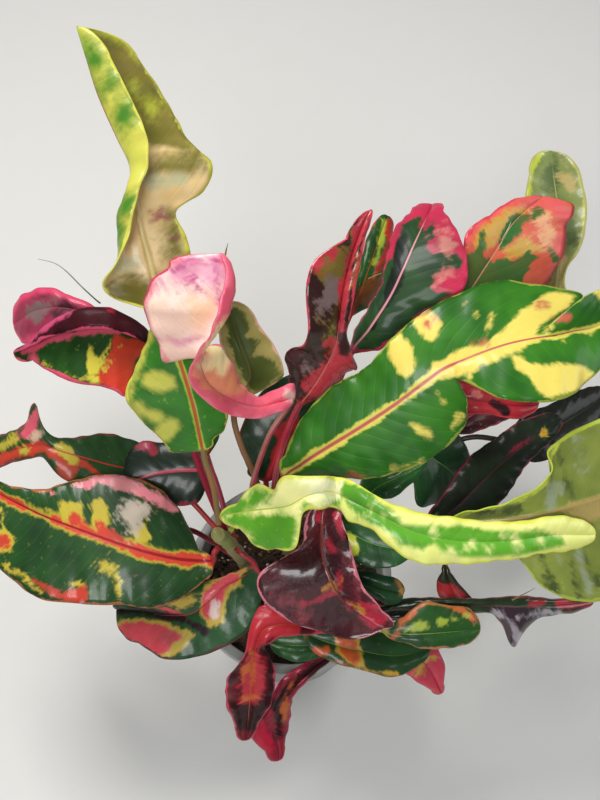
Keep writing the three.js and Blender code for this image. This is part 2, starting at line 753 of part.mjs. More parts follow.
function ringAround(centre, direction, radius, sides) {
  const sideways = new THREE.Vector3(1, 0, 0).addScaledVector(direction, -direction.x).normalize();
  const forwards = new THREE.Vector3().crossVectors(direction, sideways);
  return Array.from({ length: sides }, (unused, side) => {
    const turn = side * 2 * Math.PI / sides;
    return centre.clone()
      .addScaledVector(sideways, radius * Math.cos(turn))
      .addScaledVector(forwards, radius * Math.sin(turn));
  });
}

function makeStem(name, spare = 0) {
  const line = stemLine(name);
  const upright = new THREE.Vector3(0, 0, 1);
  const foot = line[0].clone().setZ(STEM_FOOT - spare);
  const rings = [ringAround(foot, upright, STEM_FOOT_RADIUS + spare, STEM_SIDES)];
  for (let step = 0; step <= STEM_STEPS; step += 1) {
    const place = step / STEM_STEPS * (line.length - 1);
    const direction = step === 0 ? upright : directionAt(line, place);
    const swell = step % 2 === 0 ? SCAR_SWELL : 0;
    const radius = step === 0 ? STEM_FOOT_RADIUS : STEM_RADIUS - SCAR_SWELL + swell;
    rings.push(ringAround(smooth(line, place), direction, radius + spare, STEM_SIDES));
  }
  const top = line[line.length - 1];
  const direction = directionAt(line, line.length - 1);
  for (const [along, share] of BUD_SHAPE) {
    const centre = top.clone().addScaledVector(direction, BUD_LENGTH * along);
    rings.push(ringAround(centre, direction, STEM_RADIUS * share, STEM_SIDES));
  }
  return closedBody(rings);
}

// Soil: fills the pot, with an uneven top and a plain hole of each stem's own shape.
function makeSoil() {
  const top = POT_HEIGHT - SOIL_DROP;
  const floor = POT_FLOOR + TOUCH_GAP;
  const topRadius = innerRadiusAt(top - 2) - TOUCH_GAP;
  const profile = [[0, floor], [innerRadiusAt(floor) - TOUCH_GAP, floor], [topRadius, top - 2]];
  for (let ring = SOIL_RINGS - 1; ring >= 0; ring -= 1) {
    profile.push([topRadius * ring / SOIL_RINGS, top]);
  }
  let soil = Manifold.revolve([profile], SOIL_SIDES).warp((point) => {
    if (point[2] < top - 0.01) return;
    const lump = Math.sin(point[0] * 0.19 + 1) * Math.cos(point[1] * 0.23 - 2)
      + 0.6 * Math.sin(point[0] * 0.41 - point[1] * 0.37);
    point[2] += SOIL_LUMP * lump;
  });
  for (const name of Object.keys(stems)) {
    soil = soil.subtract(manifoldFrom(makeStem(name, TOUCH_GAP)));
  }
  return geometryFrom(soil);
}

// A leaf's stations and tip, after its pose has turned and bent them.
function posedLeaf(leaf) {
  const { level = 0, turn = 0, lift = 0, arch = 0 } = leaf.pose ?? {};
  const count = leaf.blade.length + 1;
  const blade = leaf.blade.map(([leftEdge, rib, rightEdge, ...bows], index) => {
    const along = (index + 1) / count;
    const near = rib[2] + lift * along - arch * along ** 2;
    const scale = (VIEW.distance - near) / VIEW.focal;
    const posedEdge = ([across, down, rise]) => {
      const sideways = (across - rib[0]) * scale;
      const upwards = (rib[1] - down) * scale;
      return [across, down, rise - LEVEL_SLOPE * level * upwards + turn * sideways];
    };
    return [posedEdge(leftEdge), [rib[0], rib[1], near], posedEdge(rightEdge), ...bows];
  });
  const [tipAcross, tipDown, tipNear] = leaf.tip;
  return { ...leaf, blade, tip: [tipAcross, tipDown, tipNear + lift - arch] };
}

// The line of a leaf's rib, from the stem's bark through petiole and neck to the tip.
function ribLine(leaf) {
  const line = stemLine(leaf.stem);
  const place = leaf.height * (line.length - 1);
  const axisPoint = smooth(line, place);
  const upStem = directionAt(line, place);
  const petiole = (leaf.petiole ?? []).map(seenPoint);
  const neck = seenPoint(leaf.neck);
  const outwards = (petiole[0] ?? neck).clone().sub(axisPoint);
  outwards.addScaledVector(upStem, -outwards.dot(upStem)).normalize();
  const bark = axisPoint.clone().addScaledVector(outwards, STEM_RADIUS + ROOT_GAP);
  const shoulder = axisPoint.clone()
    .addScaledVector(outwards, STEM_RADIUS + SHOULDER_OUT)
    .addScaledVector(upStem, SHOULDER_UP);
  const ribs = leaf.blade.map((station) => seenPoint(station[1]));
  const points = [bark, shoulder, ...petiole, neck, ...ribs, seenPoint(leaf.tip)];
  return { points, neckIndex: petiole.length + 2 };
}

// The places along a rib where the leaf gets a row: close together on the blade.
function rowPlaces(points, neckIndex) {
  const places = [];
  const last = points.length - 1;
  for (let index = 0; index < last; index += 1) {
    const length = points[index].distanceTo(points[index + 1]);
    const pitch = index < neckIndex ? PETIOLE_PITCH : ROW_PITCH;
    const fewest = index === neckIndex || index === last - 1 ? 3 : 1;
    const steps = Math.max(fewest, Math.round(length / pitch));
    for (let step = 0; step < steps; step += 1) {
      const along = step / steps;
      places.push(index + (index === last - 1 ? Math.sin(along * Math.PI / 2) : along));
    }
  }
  places.push(last);
  return places;
}

// Both halves of a blade at a station place: the way to each edge, and how far it bows.
function halvesAt(leaf, edges, bladePlace, direction) {
  const { lefts, rights, bows } = edges;
  const last = lefts.length - 1;
  if (bladePlace < 0) {
    const sideways = rights[0].clone().sub(lefts[0]);
    sideways.addScaledVector(direction, -sideways.dot(direction)).normalize();
    const opening = Math.sin(Math.max(0, bladePlace + 1) * Math.PI / 2);
    const narrow = PETIOLE_HALF_WIDTH * (1 - opening);
    return {
      left: sideways.clone().multiplyScalar(-narrow).addScaledVector(lefts[0], opening),
      right: sideways.clone().multiplyScalar(narrow).addScaledVector(rights[0], opening),
      bow: bows[0].map((bow) => bow * opening),
      opening,
    };
  }
  if (bladePlace <= last) {
    const index = Math.min(Math.floor(bladePlace), last);
    const next = Math.min(index + 1, last);
    const along = bladePlace - index;
    return {
      left: smooth(lefts, bladePlace),
      right: smooth(rights, bladePlace),
      bow: bows[index].map((bow, side) => bow * (1 - along) + bows[next][side] * along),
      opening: 1,
    };
  }
  const beyond = bladePlace - last;
  const narrowing = Math.sqrt(Math.max(0, 1 - beyond * beyond));
  const left = lefts[last].clone().multiplyScalar(narrowing);
  const right = rights[last].clone().multiplyScalar(narrowing);
  if (narrowing < 0.02) {
    const sideways = rights[last].clone().sub(lefts[last]).normalize();
    left.copy(sideways).multiplyScalar(-TIP_HALF_WIDTH);
    right.copy(sideways).multiplyScalar(TIP_HALF_WIDTH);
  }
  return { left, right, bow: bows[last].map((bow) => bow * narrowing), opening: 1 };
}

// The middle surface of a leaf, as rows of points from its left edge to its right edge.
function leafRows(plainLeaf) {
  const leaf = posedLeaf(plainLeaf);
  const { points, neckIndex } = ribLine(leaf);
  const edges = { lefts: [], rights: [], bows: [] };
  for (const [leftEdge, rib, rightEdge, leftBow = PLAIN_BOW, rightBow = PLAIN_BOW] of leaf.blade) {
    const ribPoint = seenPoint(rib);
    edges.lefts.push(seenPoint([leftEdge[0], leftEdge[1], rib[2] + leftEdge[2]]).sub(ribPoint));
    edges.rights.push(seenPoint([rightEdge[0], rightEdge[1], rib[2] + rightEdge[2]]).sub(ribPoint));
    edges.bows.push([leftBow, rightBow]);
  }
  return rowPlaces(points, neckIndex).map((place) => {
    const middle = smooth(points, place);
    const direction = directionAt(points, place);
    const { left, right, bow, opening } = halvesAt(leaf, edges, place - neckIndex - 1, direction);
    const leftUp = new THREE.Vector3().crossVectors(direction, left).normalize();
    const rightUp = new THREE.Vector3().crossVectors(right, direction).normalize();
    const row = ACROSS.map((across) => {
      const side = across < 0 ? left : right;
      const up = across < 0 ? leftUp : rightUp;
      const share = Math.abs(across);
      return middle.clone()
        .addScaledVector(side, share)
        .addScaledVector(up, 4 * share * (1 - share) * bow[across < 0 ? 0 : 1]);
    });
    return { row, opening, place, last: points.length - 1 };
  });
}

// A face's own direction at a point of the middle surface, halfway between its neighbours'.
function surfaceNormal(rows, index, column) {
  const before = rows[Math.max(index - 1, 0)].row[column];
  const after = rows[Math.min(index + 1, rows.length - 1)].row[column];
  const { row } = rows[index];
  const across = new THREE.Vector3();
  if (column > 0) across.add(row[column].clone().sub(row[column - 1]).normalize());
  if (column < row.length - 1) across.add(row[column + 1].clone().sub(row[column]).normalize());
  return across.cross(after.clone().sub(before)).normalize();
}

function makeLeaf(leaf) {
  const rows = leafRows(leaf);
  const rings = rows.map(({ row, opening, place, last }, index) => {
    const round = 1 - opening;
    const ribShare = 1 - place / last;
    const upper = [];
    const under = [];
    row.forEach((point, column) => {
      const across = ACROSS[column];
      const stalk = PETIOLE_THICK / 2 * Math.sqrt(1 - PETIOLE_FLATTENING * across ** 2);
      const half = round * stalk + (1 - round) * BLADE_THICK / 2;
      const rib = across === 0 ? (1 - round) * RIB_EXTRA * ribShare : 0;
      const normal = surfaceNormal(rows, index, column);
      upper.push(point.clone().addScaledVector(normal, half + RIB_SHARE_ABOVE * rib));
      under.push(point.clone().addScaledVector(normal, -half - rib));
    });
    return [...upper, ...under.reverse()];
  });
  return closedBody(rings);
}

// Put together
const plant = new THREE.Group();
addPiece(plant, 'pot', makePot(), 0x96999a, 0.55);
addPiece(plant, 'soil', makeSoil(), 0x3a2a20, 0.95);
for (const name of Object.keys(stems)) {
  addPiece(plant, `stem_${name}`, makeStem(name), STEM_COLOURS[name], 0.85);
}
for (const [name, leaf] of Object.entries(leaves)) {
  addPiece(plant, `leaf_${name}`, makeLeaf(leaf), leaf.colour, 0.35);
}

export default plant;
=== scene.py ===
# %% [markdown]
# # A potted croton
# A croton is a house plant whose thick, shiny leaves come in green, yellow, orange, crimson
# and near black, often all on one plant. This notebook dresses a plain solid model of one:
# every leaf, stem, the soil and the pot get their finer form and their finish.
# The solids arrive as a frame that is never moved. Each dressed piece stands where its solid
# stands and takes its place.

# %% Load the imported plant
import itertools
import math

import bpy
import numpy as np
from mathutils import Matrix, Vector


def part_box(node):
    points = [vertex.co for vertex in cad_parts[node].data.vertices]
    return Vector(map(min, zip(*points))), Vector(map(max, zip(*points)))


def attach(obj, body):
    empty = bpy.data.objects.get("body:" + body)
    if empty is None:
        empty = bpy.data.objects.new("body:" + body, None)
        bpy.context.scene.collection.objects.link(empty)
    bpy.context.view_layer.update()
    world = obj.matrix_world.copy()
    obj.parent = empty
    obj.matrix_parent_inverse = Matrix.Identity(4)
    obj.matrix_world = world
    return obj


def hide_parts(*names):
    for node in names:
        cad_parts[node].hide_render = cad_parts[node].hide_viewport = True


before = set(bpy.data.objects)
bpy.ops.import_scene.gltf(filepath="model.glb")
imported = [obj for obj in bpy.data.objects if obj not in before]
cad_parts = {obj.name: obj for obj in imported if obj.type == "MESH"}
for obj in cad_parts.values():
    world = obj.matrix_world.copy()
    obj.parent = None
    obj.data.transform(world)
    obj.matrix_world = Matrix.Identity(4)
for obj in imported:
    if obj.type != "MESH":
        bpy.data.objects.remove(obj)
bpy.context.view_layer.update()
MM = 0.001
print("solids:", len(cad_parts))

# %% [markdown]
# ## Looking at the plant
# The photo looks steeply down on the plant, so the camera does too: 60 degrees below the
# level. Leaves are curled in ways that are easiest to state as they are seen, so a leaf's
# points are written as a place in that view, across and down, with its height towards the
# viewer in millimetres. `seen` turns them into places in the plant's own frame.

# %% The view and the places seen in it
VIEW_ELEVATION = math.radians(60)
VIEW_DISTANCE = 650.0
VIEW_FOCAL = 1016.0
VIEW_SIZE = (600, 800)
VIEW_CENTRE = np.array([300.0, 400.0])
RIM_CENTRE_SEEN = np.array([290.0, 572.0])
POT_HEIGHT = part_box("pot")[1][2] / MM

RIGHTWARDS = np.array([1.0, 0.0, 0.0])
UPWARDS = np.array([0.0, math.sin(VIEW_ELEVATION), math.cos(VIEW_ELEVATION)])
TOWARDS = np.array([0.0, -math.cos(VIEW_ELEVATION), math.sin(VIEW_ELEVATION)])
RIM_SCALE = VIEW_DISTANCE / VIEW_FOCAL
RIM_OFFSET = (VIEW_CENTRE - RIM_CENTRE_SEEN) * RIM_SCALE
RIM_CENTRE = np.array([0.0, 0.0, POT_HEIGHT])
VIEW_AXIS = RIM_CENTRE + RIGHTWARDS * RIM_OFFSET[0] - UPWARDS * RIM_OFFSET[1]
VIEWER = VIEW_AXIS + TOWARDS * VIEW_DISTANCE


def seen(points):
    """Places in millimetres, from rows of across, down and nearness."""
    points = np.asarray(points, float)
    scale = (VIEW_DISTANCE - points[..., 2:]) / VIEW_FOCAL
    return (
        VIEW_AXIS
        + RIGHTWARDS * (points[..., :1] - VIEW_CENTRE[0]) * scale
        + UPWARDS * (VIEW_CENTRE[1] - points[..., 1:2]) * scale
        + TOWARDS * points[..., 2:]
    )


def as_seen(places):
    """The across and down at which places in millimetres are seen."""
    towards_place = places - VIEWER
    depth = -(towards_place @ TOWARDS)
    across = VIEW_CENTRE[0] + VIEW_FOCAL * (towards_place @ RIGHTWARDS) / depth
    down = VIEW_CENTRE[1] - VIEW_FOCAL * (towards_place @ UPWARDS) / depth
    return across, down


print("viewer stands at", np.round(VIEWER), "mm")

# %% Camera
SENSOR = 36.0
camera_data = bpy.data.cameras.new("camera")
camera_data.sensor_width = SENSOR
camera_data.lens = VIEW_FOCAL * SENSOR / max(VIEW_SIZE)
camera = bpy.data.objects.new("camera", camera_data)
camera.location = Vector(VIEWER * MM)
camera.rotation_euler = (math.pi / 2 - VIEW_ELEVATION, 0.0, 0.0)
bpy.context.scene.collection.objects.link(camera)
bpy.context.scene.camera = camera
print("lens:", round(camera_data.lens, 1), "mm")

# %% [markdown]
# ## Shader expressions
# A finish is easier to read as sums than as a web of nodes. `Shade` wraps a socket, so that
# `1 - mask * 0.5` adds the Math nodes by itself. Colours are mixed by `Finish.mix`, because
# a Math node would turn them grey. Both make their nodes with `Finish.node`.

# %% The shader helpers
class Shade:
    """A number in a material, with Python's operators."""

    def __init__(self, finish, socket):
        self.finish = finish
        self.socket = socket

    def math(self, operation, first, second=0.0):
        values = {0: first, 1: second}
        return self.finish.node("ShaderNodeMath", {"operation": operation}, values)

    def __add__(self, other):
        return self.math("ADD", self, other)

    def __sub__(self, other):
        return self.math("SUBTRACT", self, other)

    def __rsub__(self, other):
        return self.math("SUBTRACT", other, self)

    def __mul__(self, other):
        return self.math("MULTIPLY", self, other)

    def wave(self):
        """A to-and-fro between 0 and half, once in every whole number."""
        return self.math("PINGPONG", self, 0.5)

    def step(self, low, high):
        """0 up to low, 1 from high, and a soft rise between them."""
        settings = {"interpolation_type": "SMOOTHSTEP"}
        return self.finish.node("ShaderNodeMapRange", settings, {0: self, 1: low, 2: high})


class Finish:
    """A material whose nodes are made from expressions."""

    def __init__(self, name):
        self.material = bpy.data.materials.new(name)
        self.material.use_nodes = True
        self.tree = self.material.node_tree
        self.tree.nodes.clear()

    def node(self, kind, settings=None, values=None, output=0):
        made = self.tree.nodes.new(kind)
        for key, value in (settings or {}).items():
            setattr(made, key, value)
        for key, value in (values or {}).items():
            if isinstance(value, Shade):
                self.tree.links.new(value.socket, made.inputs[key])
            else:
                made.inputs[key].default_value = value
        return Shade(self, made.outputs[output] if made.outputs else None)

    def mix(self, share, first, second):
        """One colour over another; a colour may be a hexadecimal code."""
        sides = [colour(side) if isinstance(side, str) else side for side in (first, second)]
        values = {0: share, 6: sides[0], 7: sides[1]}
        return self.node("ShaderNodeMix", {"data_type": "RGBA"}, values, output=2)

    def noise(self, size, detail=3.0, rough=0.55, place=None):
        """A cloudy number round 0 whose lumps are about size millimetres wide."""
        values = {
            "Vector": place or self.node("ShaderNodeTexCoord", output=3),
            "Scale": 1 / (size * MM),
            "Detail": detail,
            "Roughness": rough,
        }
        return self.node("ShaderNodeTexNoise", {"noise_dimensions": "3D"}, values) - 0.5

    def attribute(self, name):
        return self.node("ShaderNodeAttribute", {"attribute_name": name}, output=2)

    def surface(self, tint, roughness, height=None, reach=0.3, **fixed):
        """The closing nodes: the shader, with a bump of reach millimetres, and the output."""
        values = {"Base Color": tint, "Roughness": roughness, **fixed}
        if height is not None:
            bump = {"Strength": 1.0, "Distance": reach * MM, "Height": height}
            values["Normal"] = self.node("ShaderNodeBump", None, bump)
        shader = self.node("ShaderNodeBsdfPrincipled", None, values)
        self.node("ShaderNodeOutputMaterial", None, {"Surface": shader})
        return self.material


def colour(code):
    """A colour for the shader from the hexadecimal code that is seen on a screen."""
    parts = [int(code[start : start + 2], 16) / 255 for start in (0, 2, 4)]
    linear = [
        ((part + 0.055) / 1.055) ** 2.4 if part > 0.04045 else part / 12.92 for part in parts
    ]
    return (*linear, 1.0)


print("shader helpers are ready")

# %% [markdown]
# ## Floor and light
# The studio is plain: a pale floor, a large soft lamp high behind the plant, a weaker one
# near the camera, one on the right and one low in front. The leaves are glossy, so it is
# the lamps' size that decides how broad the highlights on them are. The standard view
# transform is used, because the usual one would wash out the strong reds and yellows.

# %% How the picture is developed
bpy.context.scene.view_settings.view_transform = "Standard"
bpy.context.scene.view_settings.look = "None"
print("view transform:", bpy.context.scene.view_settings.view_transform)

# %% Floor
FLOOR_SIZE = 8.0
FLOOR_DROP = 0.0005
floor_finish = Finish("pale_floor")
floor_colour = floor_finish.mix(floor_finish.noise(30) * 0.3 + 0.5, "d2d1cd", "dbdad7")
bpy.ops.mesh.primitive_plane_add(size=FLOOR_SIZE, location=(0.0, 0.0, -FLOOR_DROP))
floor = bpy.context.object
floor.name = "floor"
floor.data.materials.append(floor_finish.surface(floor_colour, 0.75))
print("floor:", FLOOR_SIZE, "m wide")

# %% Lamps
PLANT_MIDDLE = Vector((0.0, 0.03, 0.22))


def lamp(name, place, size, power, tint=(1.0, 1.0, 1.0)):
    """A square soft lamp that faces the middle of the plant."""
    data = bpy.data.lights.new(name, "AREA")
    data.size = size
    data.energy = power
    data.color = tint
    made = bpy.data.objects.new(name, data)
    made.location = place
    made.rotation_euler = (PLANT_MIDDLE - made.location).to_track_quat("-Z", "Y").to_euler()
    bpy.context.scene.collection.objects.link(made)
    return name


lamps = [
    lamp("key_lamp", (-0.35, 0.55, 1.35), 0.5, 15.0, (1.0, 0.98, 0.95)),
    lamp("near_lamp", (-0.25, -0.75, 1.3), 0.45, 9.0),
    lamp("side_lamp", (1.1, 0.1, 0.9), 0.6, 3.4, (0.95, 0.97, 1.0)),
    lamp("low_lamp", (-0.3, -1.3, 0.5), 0.9, 2.0),
]
world = bpy.data.worlds.new("soft_room")
world.use_nodes = True
room_light = world.node_tree.nodes["Background"].inputs
room_light["Color"].default_value = (0.82, 0.86, 0.9, 1.0)
room_light["Strength"].default_value = 0.2
bpy.context.scene.world = world
print("lamps:", lamps)

# %% [markdown]
# ## The shape of a leaf
# A croton leaf is a stalk, a stout midrib and two half blades that may curl, fold or droop
# each in its own way. So a leaf is stated by stations along its midrib: where the rib is,
# and where the left and right edges are. A smooth curve joins the stations, and each half
# blade spans from rib to edge with a bow of its own. A sheet draped over guides would be
# quicker to model but harder to match to a photo. The stations can be checked by eye.

# %% Smooth curves through a few points
NUDGE = 1e-3


def smooth(points, places):
    """Points of a Catmull-Rom curve, at places from 0 to the last point's number."""
    points = np.asarray(points, float)
    places = np.atleast_1d(places)
    last = len(points) - 1
    if last == 0:
        return np.repeat(points, len(places), axis=0)
    padded = np.array([2 * points[0] - points[1], *points, 2 * points[-1] - points[-2]])
    index = np.minimum(np.floor(places).astype(int), last - 1)
    along = (places - index)[:, None]
    before, start, end, after = (padded[index + step] for step in range(4))
    return 0.5 * (
        2 * start
        + (end - before) * along
        + (2 * before - 5 * start + 4 * end - after) * along**2
        + (3 * start - before - 3 * end + after) * along**3
    )


def unit(vectors):
    lengths = np.linalg.norm(vectors, axis=-1, keepdims=True)
    return vectors / np.maximum(lengths, 1e-9)


def directions(points, places):
    """Which way the smooth curve runs at its places."""
    ahead = smooth(points, np.minimum(places + NUDGE, len(points) - 1))
    return unit(ahead - smooth(points, np.maximum(places - NUDGE, 0)))


print("a curve's middle:", smooth([[0, 0, 0], [1, 1, 0], [2, 0, 0]], 1.0)[0])

# %% [markdown]
# The stems come first, because every leaf starts at one. Their centre lines are the ones
# that the solids were made along.

# %% Stem lines
STEM_LINES = {
    "left": [(-22, -2, 80), (-26, -3, 120), (-33, -7, 165), (-39, -13, 199)],
    "middle": [(4, 8, 80), (0, 8, 120), (-9, 6, 160), (-15, 4, 193)],
    "right": [(14, -14, 80), (17, -15, 115), (19, -15, 150), (19, -14, 168)],
    "back": [(30, 22, 80), (42, 34, 120), (56, 48, 152), (66, 58, 174)],
}
STEM_RADIUS = 4.2
ROOT_GAP = 0.98
SHOULDER_OUT = 5.0
SHOULDER_UP = 3.5


def leaf_root(stem, height, towards):
    """Where a leaf leaves its stem: just off the bark, and a little further out and up."""
    line = STEM_LINES[stem]
    place = np.array([height * (len(line) - 1)])
    axis = smooth(line, place)[0]
    up_stem = directions(line, place)[0]
    outwards = towards - axis
    outwards = unit(outwards - up_stem * (outwards @ up_stem))
    bark = axis + outwards * (STEM_RADIUS + ROOT_GAP)
    shoulder = axis + outwards * (STEM_RADIUS + SHOULDER_OUT) + up_stem * SHOULDER_UP
    return bark, shoulder


print("stems:", ", ".join(STEM_LINES))

# %% [markdown]
# A pose bends a leaf along the line of sight, where a photo gives no help: `lift` raises
# the tip, `arch` lowers it again in a curve, `level` brings the halves towards the
# horizontal and `turn` raises the right half. `stout` makes the midrib stand out more or
# less than usual, and `puckered` does the same for the blade's quilting.

# %% Posing and spanning a leaf
LEVEL_SLOPE = math.tan(math.pi / 2 - VIEW_ELEVATION)
PLAIN_BOWS = (1.5, 1.5)
PETIOLE_HALF_WIDTH = 1.6
TIP_HALF_WIDTH = 0.3
POINTED = 0.02


def posed_stations(blade, pose):
    """Rib points, ways to the left and right edges, and bows, in millimetres."""
    lift, arch, level, turn = (pose.get(key, 0) for key in ("lift", "arch", "level", "turn"))
    ribs, lefts, rights, bows = [], [], [], []
    for index, (left, rib, right, *own_bows) in enumerate(blade):
        along = (index + 1) / (len(blade) + 1)
        near = rib[2] + lift * along - arch * along**2
        scale = (VIEW_DISTANCE - near) / VIEW_FOCAL
        rib_point = seen([rib[0], rib[1], near])
        for edge, ways in ((left, lefts), (right, rights)):
            upwards = (rib[1] - edge[1]) * scale
            sideways = (edge[0] - rib[0]) * scale
            rise = edge[2] - LEVEL_SLOPE * level * upwards + turn * sideways
            ways.append(seen([edge[0], edge[1], near + rise]) - rib_point)
        ribs.append(rib_point)
        bows.append(own_bows[0] if own_bows else PLAIN_BOWS)
    return np.array(ribs), np.array(lefts), np.array(rights), np.array(bows, float)


def halves(lefts, rights, bows, places, rib_directions):
    """Both halves at blade places: below 0 the blade opens, past the last it closes."""
    last = len(lefts) - 1
    inside = np.clip(places, 0, last)
    left, right = smooth(lefts, inside), smooth(rights, inside)
    bow = np.stack([np.interp(inside, range(last + 1), side) for side in bows.T], axis=-1)
    opening = np.where(places < 0, np.sin(np.clip(places + 1, 0, 1) * np.pi / 2), 1.0)
    narrowing = np.sqrt(np.clip(1 - np.clip(places - last, 0, 1) ** 2, 0, 1))
    share = (opening * narrowing)[:, None]
    stalk = unit(rights[0] - lefts[0])
    stalk = unit(stalk - rib_directions * (rib_directions @ stalk)[:, None])
    stalk = stalk * PETIOLE_HALF_WIDTH * (1 - opening)[:, None]
    point = unit(rights[-1] - lefts[-1]) * TIP_HALF_WIDTH * (narrowing < POINTED)[:, None]
    return left * share - stalk - point, right * share + stalk + point, bow * share, opening


print("slope that levels a half blade:", round(LEVEL_SLOPE, 3))

# %% [markdown]
# ## The leaves of this plant
# The stations of each leaf were read off the photo, from the petiole to the tip. The photo
# doesn't show how near a point is, so the heights follow from which leaf covers which.
# They are the ones that the solids were made from, so each leaf lies where its solid does.

# %% The leaves, one by one
LEAVES = {}


def rows(text):
    """Rows of numbers from a text in which a comma ends a row."""
    return [tuple(float(value) for value in row.split()) for row in text.split(",") if row.strip()]


def leaf(name, stem, height, petiole, neck, stations, tip, **pose):
    """Keep one leaf: its place on a stem, its seen points and its pose.

    A line of stations holds the left edge, the rib and the right edge, and, where a half
    bows more or less than usual, the bows of both halves.
    """
    blade = [rows(line) for line in stations.strip().splitlines()]
    LEAVES[name] = dict(
        stem=stem,
        height=height,
        petiole=rows(petiole),
        neck=rows(neck)[0],
        blade=blade,
        tip=rows(tip)[0],
        pose=pose,
    )


leaf("spire", "left", 1.0, "213 486 100, 206 464 106", "203 450 110", """
168 447 -4, 200 436 114, 213 440 -4
127 400 0, 194 408 124, 227 420 -10
136 368 -4, 184 374 134, 222 388 -14
150 333 -14, 172 340 144, 191 347 -12
163 314 -13, 160 320 148, 187 323 9
184 294 -8, 158 299 152, 128 304 8
191 264 -6, 152 270 158, 104 287 10, 0 4
187 238 -4, 143 236 162, 124 247 12, 0 9
176 211 -6, 138 212 166, 134 215 12, 0 9
203 192 -8, 134 190 170, 139 190 12, 0 5
212 165 -8, 129 164 173, 148 164 10, 0 2
187 138 -14, 116 136 176, 147 136 9
166 100 -20, 98 95 180, 131 98 6
138 58 -15, 86 57 184, 111 58 4
""", "77 27 188", lift=20, arch=40)
leaf("scoop", "middle", 1.0, "252 488 98, 269 436 108", "291 402 112", """
280 412 6, 280 402 119, 290 384 -4
256 419 8, 256 407 130, 257 396 -8
222 412 8, 228 398 145, 241 383 -10
195 391 8, 209 384 158, 231 363 -12
189 376 8, 201 368 168, 215 344 -14
197 355 12, 200 355 174, 168 364 -12
208 337 14, 210 338 178, 158 341 -8
218 312 14, 222 312 181, 144 309 -8, 4 -4
223 290 12, 229 288 183, 151 282 -8, 4 -4
226 270 8, 230 270 184, 169 267 -4, 2 -2
""", "222 254 184", lift=10)
leaf("olive_back", "middle", 0.86, "252 470 84, 242 448 89, 234 420 92", "237 400 94", """
284 374 -2, 250 376 96, 230 380 0
275 347 -2, 243 352 100, 222 352 0
258 323 -2, 235 330 104, 218 330 0
""", "228 302 106", turn=-0.3, arch=10)
leaf("boat", "left", 0.8, "200 470 86, 176 400 98", "150 352 106", """
122 396 -5, 128 332 114, 140 340 8, 0 -7
103 387 -6, 105 324 120, 110 330 12, 0 -10
75 383 -5, 80 323 124, 80 330 12, 0 -9
52 373 -4, 55 333 126, 50 337 9, 0 -6
33 360 -2, 32 346 127, 29 347 5, 0 -2
""", "14 353 126", level=0.5, lift=-10, arch=20)
leaf("ear", "left", 0.71, "190 440 78, 150 380 92", "105 322 100", """
78 332 0, 75 310 104, 74 298 0
55 337 0, 50 308 106, 50 288 0
34 342 0, 30 313 107, 25 293 0
""", "14 325 107", level=0.4, lift=-10, arch=20)
leaf("ribbon", "left", 0.86, "", "222 517 98", """
238 503 0, 237 513 106, 240 528 -2
257 484 2, 256 510 112, 260 548 -6
274 489 4, 274 508 118, 275 549 -6
284 476 8, 290 505 124, 296 547 -4
304 476 6, 306 496 129, 303 514 -2
324 476 4, 322 492 132, 322 508 -4
335 477 4, 335 492 126, 336 508 -2
350 480 3, 350 500 134, 349 520 -3
384 500 2, 378 514 142, 372 530 -3
418 512 0, 414 532 148, 410 560 -3
458 518 0, 456 541 151, 452 564 -3
508 522 0, 506 541 152, 505 560 -3
556 516 0, 552 535 150, 553 552 -3
""", "595 535 146", level=0.3, lift=25, arch=60)
leaf("broad_green", "middle", 0.83, "", "284 478 92", """
285 455 2, 300 465 98, 315 474 -3
303 417 2, 325 449 104, 352 479 -6
332 387 2, 356 430 111, 392 474 -10
368 366 0, 390 408 118, 432 458 -12
392 338 2, 420 386 124, 463 428 -12
428 310 0, 443 369 128, 467 402 -10
462 292 -2, 462 361 131, 455 379 -4
500 281 -6, 484 352 134, 478 388 0
540 285 -10, 508 344 137, 502 399 2
582 297 -14, 530 339 140, 532 402 3
548 326 2, 550 336 143, 555 401 3
582 298 8, 574 331 145, 575 393 2
608 285 6, 600 325 146, 600 370 0
""", "652 300 146", level=0.5, lift=30, arch=60)
leaf("olive_right", "right", 0.78, "352 540 58, 405 528 78", "445 524 98", """
488 540 -4, 477 523 106, 476 510 2
519 559 -6, 512 520 112, 515 500 4
540 585 -8, 540 514 117, 550 474 8
572 600 -10, 570 506 121, 552 446 6
612 597 -8, 606 495 123, 602 418 2
642 560 -4, 640 482 124, 640 425 0
""", "672 470 122", level=-0.3, arch=25)
leaf("olive_far", "back", 0.87, "440 400 46, 490 370 46", "535 338 48", """
566 300 0, 552 304 50, 538 306 0
565 274 0, 557 274 53, 542 276 0
582 243 -3, 560 245 52, 530 240 -3
587 208 -3, 558 208 52, 525 203 -3
582 179 -3, 554 180 53, 529 174 -3
""", "551 151 53", turn=0.3, lift=10, arch=50)
leaf("coral", "back", 0.96, "402 400 40", "430 350 56", """
452 296 0, 460 306 70, 488 318 -4
462 258 0, 480 275 76, 535 295 -6
467 232 0, 497 249 81, 562 255 -4
490 215 0, 514 222 85, 568 222 -2
""", "542 197 88", turn=-0.35, lift=20, arch=48)
leaf("crimson_edge", "middle", 0.62, "290 460 42, 330 400 51", "352 352 74", """
362 318 -4, 370 328 88, 386 344 -4
380 288 -6, 390 297 92, 425 311 -5
386 262 -7, 402 272 96, 462 291 -5
391 238 -6, 413 247 98, 467 262 -3
401 221 -4, 421 230 100, 456 229 -2
412 211 -2, 427 217 101, 443 211 -1
""", "432 205 101", turn=0.35, lift=30, arch=70)
